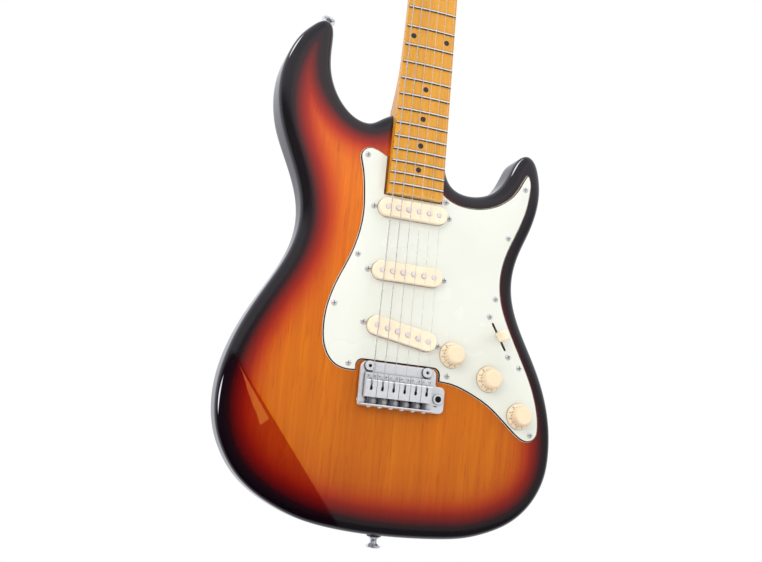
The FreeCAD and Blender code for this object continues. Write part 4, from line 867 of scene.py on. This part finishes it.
for material, names in PART_MATERIALS:
    for name in names:
        part = parts[name]
        if not part.material_slots:
            part.data.materials.append(material)
        for slot in part.material_slots:
            slot.material = material

# -------------------------------------------------------------------- body
RIM = spline_closed(BODY_OUTLINE, count=1080)
DENSE_RIM = spline_closed(BODY_OUTLINE, count=1500)
EDGE_ROUND = 10.0                                        # radius of the body's edges
ROUND_STEPS = np.radians([0, 9, 18, 28, 38, 48, 58, 68, 79, 90])
# Stretches of edge with a glint: X range, Z range, Y of the mirrored view at its middle.
GLINTS = [
    (-170.0, -148.0, -54.0, -17.0, -0.30), (-145.0, -118.0, 288.0, 316.0, 0.16),
    (100.0, 121.0, 214.0, 237.0, 0.10)]


def past_bevel_edge(x, z):
    """Distance from the bevel's line, positive on the bevel."""
    return (x - BEVEL_EDGE[0]) * BEVEL_ACROSS[0] + (z - BEVEL_EDGE[1]) * BEVEL_ACROSS[1]


def bevel_depth(x, z):
    """Depth of the forearm bevel below the face."""
    angle, radius = BEVEL_ANGLE, BEVEL_BLEND
    u = past_bevel_edge(x, z) + radius * math.tan(angle / 2)
    arc_end = radius * math.sin(angle)
    arc = radius - np.sqrt(np.maximum(radius * radius - np.clip(u, 0, arc_end) ** 2, 0))
    flat = radius * (1 - math.cos(angle)) + (u - arc_end) * math.tan(angle)
    return np.where(u <= 0, 0.0, np.where(u < arc_end, arc, flat))


def belly_depth(x, z):
    """How far the belly cut goes into the back, with a soft border."""
    outside, soft, start, trim = -30.0, 3.0, -12, 0.05
    under_root = BELLY_RADIUS ** 2 - (x - BELLY_X) ** 2 - (z - BELLY_Z) ** 2
    ball = BELLY_Y - np.sqrt(np.maximum(under_root, 0))
    depth = np.where(under_root > 0, BODY_THICK - ball, outside)
    softened = 0.5 * (depth + np.sqrt(depth * depth + soft * soft)) - trim
    return np.maximum(softened, 0) * (depth > start)


def edge_radii(normals):
    """Edge rounding along the rim, kept below the radius of tight convex bends."""
    ahead, normals_ahead = np.roll(RIM, -4, 0), np.roll(normals, -4, 0)
    gap = np.linalg.norm(ahead - RIM, axis=1)
    cosine = (normals * normals_ahead).sum(1)
    bend = np.arccos(np.clip(cosine, -1, 1)) / np.maximum(gap, 1e-6)
    cross = normals[:, 0] * normals_ahead[:, 1] - normals[:, 1] * normals_ahead[:, 0]
    convex = cross * winding(RIM) > 0
    radius = np.minimum(EDGE_ROUND, 0.86 * np.where(convex, 1 / np.maximum(bend, 1e-4), 1e3))
    for _ in range(3):
        neighbours = np.minimum(np.roll(radius, 1), np.roll(radius, -1))
        radius = np.minimum(radius, neighbours + 0.15)
    return smooth_closed(radius, reach=5, times=2)


def build_solid_body():
    """Body without its cavities: rounded edge rings, walls, then the two faces."""
    count = len(RIM)
    normals = unit(smooth_closed(inward_normals(RIM), reach=2))
    radii = edge_radii(normals)
    bevel, belly = bevel_depth(*RIM.T), belly_depth(*RIM.T)
    face_round = radii * (1 - 0.045 * np.minimum(bevel, 12))
    back_round = radii * (1 - 0.030 * np.minimum(belly, 14))
    verts, rings = [], []

    def add_ring(points, y):
        rings.append(np.arange(len(verts), len(verts) + count))
        verts.extend(lifted(points, y))

    def inset_rim(radius, angle):
        return RIM + normals * (radius * (1 - np.cos(angle)))[:, None]

    for angle in ROUND_STEPS[::-1]:
        loop = inset_rim(face_round, angle)
        add_ring(loop, bevel_depth(*loop.T) + face_round * (1 - np.sin(angle)))
    wall_start = bevel + face_round
    wall_end = BODY_THICK - belly - back_round
    for share in (0.25, 0.5, 0.75):
        add_ring(RIM, wall_start + (wall_end - wall_start) * share)
    for angle in ROUND_STEPS:
        loop = inset_rim(back_round, angle)
        add_ring(loop, BODY_THICK - belly_depth(*loop.T) - back_round * (1 - np.sin(angle)))
    faces = bands(rings)

    for ring, radius, is_face in ((rings[0], face_round, True), (rings[-1], back_round, False)):
        flat, triangles = fill(inset_rim(radius, ROUND_STEPS[-1]), grid=3.4)
        interior = flat[count:]
        y = bevel_depth(*interior.T) if is_face else BODY_THICK - belly_depth(*interior.T)
        index = np.r_[ring, np.arange(len(verts), len(verts) + len(interior))]
        verts.extend(lifted(interior, y))
        faces += [tuple(index[t]) for t in (triangles if is_face else triangles[:, ::-1])]
    return new_object("body_sunburst", verts, faces)


def cutter(start, end):
    """Prism between two matching loops in metres."""
    return new_object("cutter", [*start, *end], prism_faces(len(start)))


def neck_half_width(z):
    taper = (HEEL_WIDTH - NUT_WIDTH) / (SCALE_LENGTH - HEEL_END)
    return 0.5 * (NUT_WIDTH + (SCALE_LENGTH - z) * taper)


def jack_point(along, across, out):
    return at(*(JACK_CENTRE + JACK_LONG * along + Vector((0, 1, 0)) * across + JACK_OUT * out))


def cavity_cutters():
    through = BODY_THICK + 1
    clearance = 0.12
    heel, pocket = neck_half_width(HEEL_END) + clearance, neck_half_width(262) + clearance
    # Outline, start and end depth.
    cavities = [([(-heel, HEEL_END - 0.05), (heel, HEEL_END - 0.05), (pocket, 266),
                  (-pocket, 266)], -5, 16.0)]
    cavities += [(turned(rect(-46, 46, -12.5, 12.5), turn, 0, z), -1, 19) for z, turn in PICKUPS]
    cavities += [
        (CONTROL_CAVITY, -1, 36),
        (rect(-36.2, 36.2, -28.6, -4.5), -1, 12.0),          # tremolo plate
        (rect(-36.1, 36.1, -38, -4.6), 11.9, through),       # tremolo block
        (rect(-36.2, 36.2, -5, 118), 27, through),           # tremolo springs
        (circle(*ARM_SOCKET, 6.6, 28), -1, 12)]
    cavities += [(circle(side * STUD_X, STUD_Z, 4.8, 28), -1, 22) for side in (-1, 1)]
    cutters = []
    for outline, y0, y1 in cavities:
        outline = np.array(outline, float)
        cutters.append(cutter(lifted(outline, y0), lifted(outline, y1)))

    # Jack plate seat with rounded corners, and the round hole behind it.
    seat = []
    corners = ((17.6, 8.6, 0), (-17.6, 8.6, 90), (-17.6, -8.6, 180), (17.6, -8.6, 270))
    for along, across, start in corners:
        for i in range(7):
            t = math.radians(start + 15 * i)
            seat.append((along + 3.0 * math.cos(t), across + 3.0 * math.sin(t)))
    for outline, low, high in ((seat, 0.0, 20.0), (circle(0, 0, 11.5, 40), -35.5, 0.5)):
        cutters.append(cutter(*[[jack_point(*p, out) for p in outline] for out in (low, high)]))
    return cutters


def cut_away(ob, cutters, mesh_name):
    """Apply the cutters to the object and remove them."""
    for tool in cutters:
        modifier = ob.modifiers.new("cut", "BOOLEAN")
        modifier.operation = "DIFFERENCE"
        modifier.solver = "MANIFOLD"
        modifier.object = tool
    depsgraph = bpy.context.evaluated_depsgraph_get()
    mesh = bpy.data.meshes.new_from_object(ob.evaluated_get(depsgraph), depsgraph=depsgraph)
    ob.modifiers.clear()
    solid = ob.data
    ob.data = mesh
    bpy.data.meshes.remove(solid)
    for tool in cutters:
        tool_mesh = tool.data
        bpy.data.objects.remove(tool)
        bpy.data.meshes.remove(tool_mesh)
    mesh.name = mesh_name


def add_burst_attributes(mesh):
    """Store what the burst material reads at each vertex, in millimetres."""
    flat = np.empty(len(mesh.vertices) * 3)
    mesh.vertices.foreach_get("co", flat)
    x, y, z = (flat.reshape(-1, 3) * 1000.0 - FRAME_SHIFT).T
    # Walls and rounded edges count as nearer the rim, so they stay black.
    rim = distance_to(DENSE_RIM, np.stack([x, z], 1))
    below = np.minimum(y - bevel_depth(x, z), BODY_THICK - belly_depth(x, z) - y)
    rim = np.where(below > 0.02, np.maximum(rim - 0.9 * np.clip(below, 0, 12), 0), rim)
    across = np.where(y < 20.0, past_bevel_edge(x, z), -50.0)
    along = (x - BEVEL_MARK[0]) * BEVEL_ALONG[0] + (z - BEVEL_MARK[1]) * BEVEL_ALONG[1]
    glint, glint_y = np.zeros(len(x)), np.zeros(len(x))
    for x0, x1, z0, z1, mirrored_y in GLINTS:
        t = np.clip((z - z0) / (z1 - z0), 0.0, 1.0)
        marked = (x > x0) & (x < x1) & (y < 12.0)
        glint = np.where(marked, 4.0 * t * (1.0 - t), glint)
        glint_y = np.where(marked, mirrored_y, glint_y)
    for name, values in (("rim", rim), ("facet_u", across), ("facet_v", along),
                         ("glint", glint), ("glint_y", glint_y)):
        attribute = mesh.attributes.new(name, "FLOAT", "POINT")
        attribute.data.foreach_set("value", values.astype(np.float32))


def build_body():
    ob = build_solid_body()
    cut_away(ob, cavity_cutters(), "body_sunburst")
    add_burst_attributes(ob.data)
    shade(ob.data, sharp_angle=38)
    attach(ob, "instrument")
    finish_part(ob, BURST, replaces="body")


build_body()

# --------------------------------------------------------------- pickguard
# Section of the bevelled edge: how far inside the outline, Y.
GUARD_EDGE = [(0.0, 0.0), (0.0, -0.30), (0.55, -0.95), (1.30, -1.90), (1.45, -2.14),
              (1.55, -2.27), (1.66, GUARD_TOP)]


def guard_outline():
    step, bridge_edge, heel_edge = 1.6, 10.6, HEEL_END - 0.3
    loop = list(spline_open(GUARD_BASS_EDGE, step))
    loop += arc_through((-39.9, 5.0), (-38.4, 8.9), (-34.8, bridge_edge), 8)
    loop += [(x, bridge_edge) for x in np.linspace(-30, 32, 20)]
    loop += arc_through((36.4, bridge_edge), (40.0, 8.8), (41.5, 5.0), 8)
    loop += list(spline_open(GUARD_TREBLE_EDGE, step))
    loop += [(GUARD_NECK_HALF, 180.0), (GUARD_NECK_HALF, heel_edge),
             (-GUARD_NECK_HALF, heel_edge), (-GUARD_NECK_HALF, 205.0)]
    return np.array(loop)


def build_guard():
    outline = guard_outline()
    count = len(outline)
    verts, rings = [], []
    for inset, y in GUARD_EDGE:
        loop = offset_loop(outline, inset)
        rings.append(np.arange(len(verts), len(verts) + count))
        verts += list(lifted(loop, y))
    faces = bands(rings)
    opening = stadium(PICKUP_HALF - PICKUP_ROUND, PICKUP_ROUND, 14)
    holes = [turned(opening, turn, 0, z) for z, turn in PICKUPS]
    holes.append(turned(stadium(13.9, 1.15, 8), SWITCH_SLOT_TURN, *SWITCH_SLOT))

    flat, triangles = fill(loop, holes)
    top = np.r_[rings[-1], np.arange(len(verts), len(verts) + len(flat) - count)]
    verts += list(lifted(flat[count:], GUARD_TOP))
    faces += [tuple(top[t]) for t in triangles]
    flat, triangles = fill(outline, holes)
    under = len(verts)
    verts += list(lifted(flat, 0.0))
    faces += [tuple(under + t[::-1]) for t in triangles]

    # Walls of the holes.
    first = count
    for hole in holes:
        for i in range(len(hole)):
            a, b = first + i, first + (i + 1) % len(hole)
            faces.append((top[a], top[b], under + b, under + a))
        first += len(hole)
    ob = new_part("pickguard_plate", verts, faces, sharp_angle=24)
    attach(ob, "instrument")
    finish_part(ob, GUARD, replaces="pickguard")


build_guard()

# ----------------------------------------------------------------- strings
BRIDGE_PITCH, NUT_PITCH = 10.8, 7.0
SADDLE_TOP = -13.6
BOARD_TOP, BOARD_RADIUS = -10.2, 305.0
BLOCK_Z = -16.0                       # where the strings rise through the block
HEAD_Y = -0.7                         # level that post and tree heights start from
POST_RADIUS = 2.45
# String number: Z of its tree, sideways shift there.
STRING_TREES = {2: (722.0, 0.1), 3: (722.0, 0.1), 4: (706.0, 0.05), 5: (706.0, 0.05)}


def string_path(k):
    """Centre line of string k, thickest first, from the block over the nut to its post."""
    radius = STRING_RADII[k]
    bridge_x, nut_x = (k - 2.5) * BRIDGE_PITCH, (k - 2.5) * NUT_PITCH
    board = BOARD_TOP + BOARD_RADIUS - math.sqrt(BOARD_RADIUS ** 2 - nut_x * nut_x)
    nut_y = board - 1.1 - 0.55 - radius
    saddle_y = SADDLE_TOP - radius - 0.02
    leave_y, leave_z = saddle_y - 0.2, -6.5
    nut_z = SCALE_LENGTH + 0.2
    rise = [(11.0, BLOCK_Z), (-2.0, -15.95), (-8.6, -15.7), (-10.0, -14.8),
            (saddle_y - 0.1, -9.6), (saddle_y - 0.28, -8.7), (saddle_y - 0.26, -8.0),
            (leave_y, leave_z)]
    path = [(bridge_x, y, z) for y, z in rise]
    pieces = 60
    for i in range(1, pieces):
        f = i / pieces
        path.append((bridge_x + (nut_x - bridge_x) * f, leave_y + (nut_y - leave_y) * f,
                     leave_z + (nut_z - leave_z) * f))
    path += [(nut_x, nut_y, nut_z), (nut_x, nut_y, nut_z + 3.0)]
    if k in STRING_TREES:
        tree_z, shift = STRING_TREES[k]
        tree_y = HEAD_Y - 6.6 + radius + 0.02
        path += [(nut_x + shift, tree_y, tree_z - 3.0),
                 (nut_x + shift + 0.05, tree_y, tree_z + 3.0)]
    # Two turns round the post.
    post_x, post_z = nut_x - 3.4 + 0.4 * k, 689.0 + 25.4 * k
    wrap = POST_RADIUS + radius + 0.09
    wrap_y = HEAD_Y - (8.6 if k < 2 else 8.0)
    path.append((post_x + wrap, wrap_y, post_z - 1.0))
    steps = 22
    for t in range(2 * steps + 1):
        a = 2 * math.pi * t / steps
        path.append((post_x + wrap * math.cos(a), wrap_y + 2.1 * radius * t / steps,
                     post_z + wrap * math.sin(a)))
    return path


def ball_end(k):
    """Ball end of string k in the block, a short cylinder."""
    loop = circle((k - 2.5) * BRIDGE_PITCH, BLOCK_Z, 2.0, 20)
    return [(x, y, z) for y in (10.1, 13.5) for x, z in loop], prism_faces(len(loop))


def build_strings():
    for kind, numbers, material in (("wound", (0, 1, 2), WOUND_STRING),
                                    ("plain", (3, 4, 5), PLAIN_STRING)):
        shapes = []
        for k in numbers:
            shapes += [tube(string_path(k), STRING_RADII[k], 12), ball_end(k)]
        ob = new_part("strings_" + kind, *join(shapes), sharp_angle=40)
        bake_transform(ob)
        finish_part(ob, material, replaces="strings")


build_strings()


# ----------------------------------------------------------------- tremolo
def spring_path(x):
    """Centre line of one tremolo spring: hook, coil and straight end."""
    turns, per_turn, start_z, end_z, radius, axis_y = 84, 12, 3.4, 87.6, 3.1, 34.0
    path = [(x, 32.0, -12.6), (x, 32.0, 0.0), (x, 32.2, 1.6), (x + 1.6, 32.0, 2.8)]
    for i in range(turns * per_turn + 1):
        a = 2 * math.pi * i / per_turn
        path.append((x + radius * math.cos(a), axis_y + radius * math.sin(a),
                     start_z + (end_z - start_z) * i / (turns * per_turn)))
    return path + [(x + 1.2, 33.4, 88.6), (x, 33.0, 90.5), (x, 33.0, 100.4)]


def build_tremolo_springs():
    wire_radius = 0.49
    shapes = [tube(spring_path(x), wire_radius, 6) for x in (-18, 0, 18)]
    ob = new_part("tremolo_spring_coils", *join(shapes), sharp_angle=50)
    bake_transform(ob)
    finish_part(ob, STEEL, replaces="tremolo_springs")


def build_socket_disc():
    """Black disc that paints the shade inside the arm socket."""
    count, y = 36, -5.4
    x, z = ARM_SOCKET
    points = [(a, y, b) for a, b in circle(x, z, 3.05, count)] + [(x, y, z)]
    faces = [(i, (i + 1) % count, count) for i in range(count)]
    ob = new_part("arm_socket_painted_shade", metres(points), faces)
    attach(ob, "tremolo")
    finish_part(ob, SOCKET_PAINTED_SHADE)


build_tremolo_springs()
build_socket_disc()

# ------------------------------------------- numbers on the knob skirts
# Bars of each digit, and the ends of each bar on a grid 1 wide and 2 high.
DIGIT_BARS = {"0": "abcdef", "1": "bc", "2": "abged", "3": "abgcd", "4": "fgbc", "5": "afgcd",
              "6": "afgedc", "7": "abc", "8": "abcdefg", "9": "abcdfg"}
BAR_ENDS = {"a": (0, 2, 1, 2), "b": (1, 1, 1, 2), "c": (1, 0, 1, 1), "d": (0, 0, 1, 0),
            "e": (0, 0, 0, 1), "f": (0, 1, 0, 2), "g": (0, 1, 1, 1)}
DIGIT_WIDTH, BAR_HEIGHT, DIGIT_PITCH = 0.66, 0.62, 1.05
BAR_HALF, BAR_OVERRUN = 0.12, 0.1
# Radius and Y at the digits' feet, and how far Y changes over their height.
DIAL_RADIUS, DIAL_Y, DIAL_RISE = 10.35, -6.58, 0.96


def bar_corners(bar, shift):
    """Corners of one bar on a flat page, the digit's middle at `shift`."""
    x0, y0, x1, y1 = BAR_ENDS[bar]
    start = np.array([(x0 - 0.5) * DIGIT_WIDTH + shift, y0 * BAR_HEIGHT])
    end = np.array([(x1 - 0.5) * DIGIT_WIDTH + shift, y1 * BAR_HEIGHT])
    along = (end - start) / np.linalg.norm(end - start)
    side = np.array([-along[1], along[0]]) * BAR_HALF
    start, end = start - along * BAR_OVERRUN, end + along * BAR_OVERRUN
    return start + side, end + side, end - side, start - side


def build_dials():
    for name, knob_x, knob_z in KNOBS:
        shapes = []
        for number in range(1, 11):
            centre = math.radians(90 - 30 * number - 15)
            text = str(number)
            for place, digit in enumerate(text):
                shift = (place - (len(text) - 1) / 2) * DIGIT_PITCH
                for bar in DIGIT_BARS[digit]:
                    points = []
                    for across, up in bar_corners(bar, shift):
                        radius = DIAL_RADIUS + up
                        t = centre - across / (DIAL_RADIUS + 0.6)
                        y = DIAL_Y + (up / (2 * BAR_HEIGHT)) * DIAL_RISE
                        points.append((knob_x + radius * math.cos(t), y,
                                       knob_z + radius * math.sin(t)))
                    shapes.append((points, [(0, 1, 2, 3)]))
        ob = new_part("dial_" + name, *join(shapes))
        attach(ob, name)
        finish_part(ob, DIAL_INK)


build_dials()


# ------------------------------------------------- stage, in frame metres
def build_floor():
    """Floor that looks pure white to the camera and doesn't show in reflections."""
    half, z = 6.0, -0.06
    mesh = bpy.data.meshes.new("floor")
    corners = [(-half, -half, z), (half, -half, z), (half, half, z), (-half, half, z)]
    mesh.from_pydata(corners, [], [(0, 1, 2, 3)])
    floor = bpy.data.objects.new("floor", mesh)
    scene.collection.objects.link(floor)
    material = bpy.data.materials.new("pale_floor")
    net = Net(material)
    pale = net.make("BsdfDiffuse", {"Color": (0.8, 0.8, 0.8)})
    white = net.make("Emission", {"Color": (1, 1, 1), "Strength": 1.0})
    net.add("OutputMaterial", {0: net.camera_switch(others=pale, camera=white)})
    mesh.materials.append(material)
    floor.visible_glossy = False


def build_world():
    """White to the camera; a room lit from +Y, +X and above to everything else."""
    world = bpy.data.worlds.new("studio")
    scene.world = world
    net = Net(world)
    x, y, z = net.split(net.make("TexCoord", output="Generated"))
    back = y.remap(over=(-0.10, 0.45), smooth=True)
    right = x.remap(over=(0.00, 0.22), smooth=True)
    up = z.remap(over=(0.10, 0.42), smooth=True)
    down = z.remap(over=(-0.62, -0.15), to=(0.25, 1.0), smooth=True)
    # Brightness: base, +X wall and ceiling, then the backdrop.
    room = (0.06 + right * 0.30) + up * 0.62
    room = room * down
    light = room * (1.0 - back) + back * 0.90
    tint = (0.985, 0.99, 1.06)
    colour = net.make("CombineColor", {i: light * share for i, share in enumerate(tint)})
    lit = net.make("Background", {"Color": colour, "Strength": 1.0})
    white = net.make("Background", {"Color": (1, 1, 1), "Strength": 1.0})
    net.add("OutputWorld", {0: net.camera_switch(others=lit, camera=white)})


# Name, place, target, width, height, watts.
AREA_LIGHTS = [
    ("key_left", (-1.5, -1.9, 1.2), (0, 0, 0.25), 1.5, 1.5, 28),
    ("key_right", (1.9, -1.6, 0.9), (0, 0, 0.25), 1.2, 1.5, 17),
    ("top_soft", (0.0, -0.6, 2.2), (0, 0, 0.3), 1.6, 1.0, 14),
    ("back_soft", (0.3, 2.2, 1.0), (0, 0, 0.3), 2.0, 1.4, 14),
    ("strip_left", (-1.60, -0.34, 0.20), (-0.15, 0.0, 0.13), 0.55, 0.34, 6),
    ("strip_top", (-0.96, 0.18, 2.05), (-0.12, 0.0, 0.45), 0.55, 0.45, 8),
]


def build_lights():
    for name, place, target, width, height, power in AREA_LIGHTS:
        light = bpy.data.lights.new(name, "AREA")
        light.shape = "RECTANGLE"
        light.size, light.size_y = width, height
        light.energy = power
        ob = bpy.data.objects.new(name, light)
        scene.collection.objects.link(ob)
        ob.location = place
        aim = Vector(target) - Vector(place)
        ob.rotation_euler = aim.to_track_quat("-Z", "Y").to_euler()
        ob.visible_glossy = False


# Camera axes in the frame, and its place in working millimetres.
CAMERA_RIGHT = (0.9466400242, -0.3079314913, 0.0951360144)
CAMERA_UP = (-0.1478673752, -0.1526798122, 0.9771510192)
CAMERA_BACK = (-0.2863702218, -0.9390777772, -0.1900658425)
CAMERA_PLACE = (-290.14504751, -873.76781674, -89.85464358)


def build_camera():
    camera = bpy.data.cameras.new("camera")
    camera.lens = 46.535
    camera.sensor_width = 36.0
    camera.clip_start = 0.01
    camera.clip_end = 50.0
    ob = bpy.data.objects.new("camera", camera)
    scene.collection.objects.link(ob)
    pose = Matrix((CAMERA_RIGHT, CAMERA_UP, CAMERA_BACK)).transposed().to_4x4()
    pose.translation = at(*CAMERA_PLACE)
    ob.matrix_world = pose
    scene.camera = ob


build_floor()
build_world()
build_lights()
build_camera()
scene.view_settings.view_transform = "Standard"
scene.view_settings.look = "None"
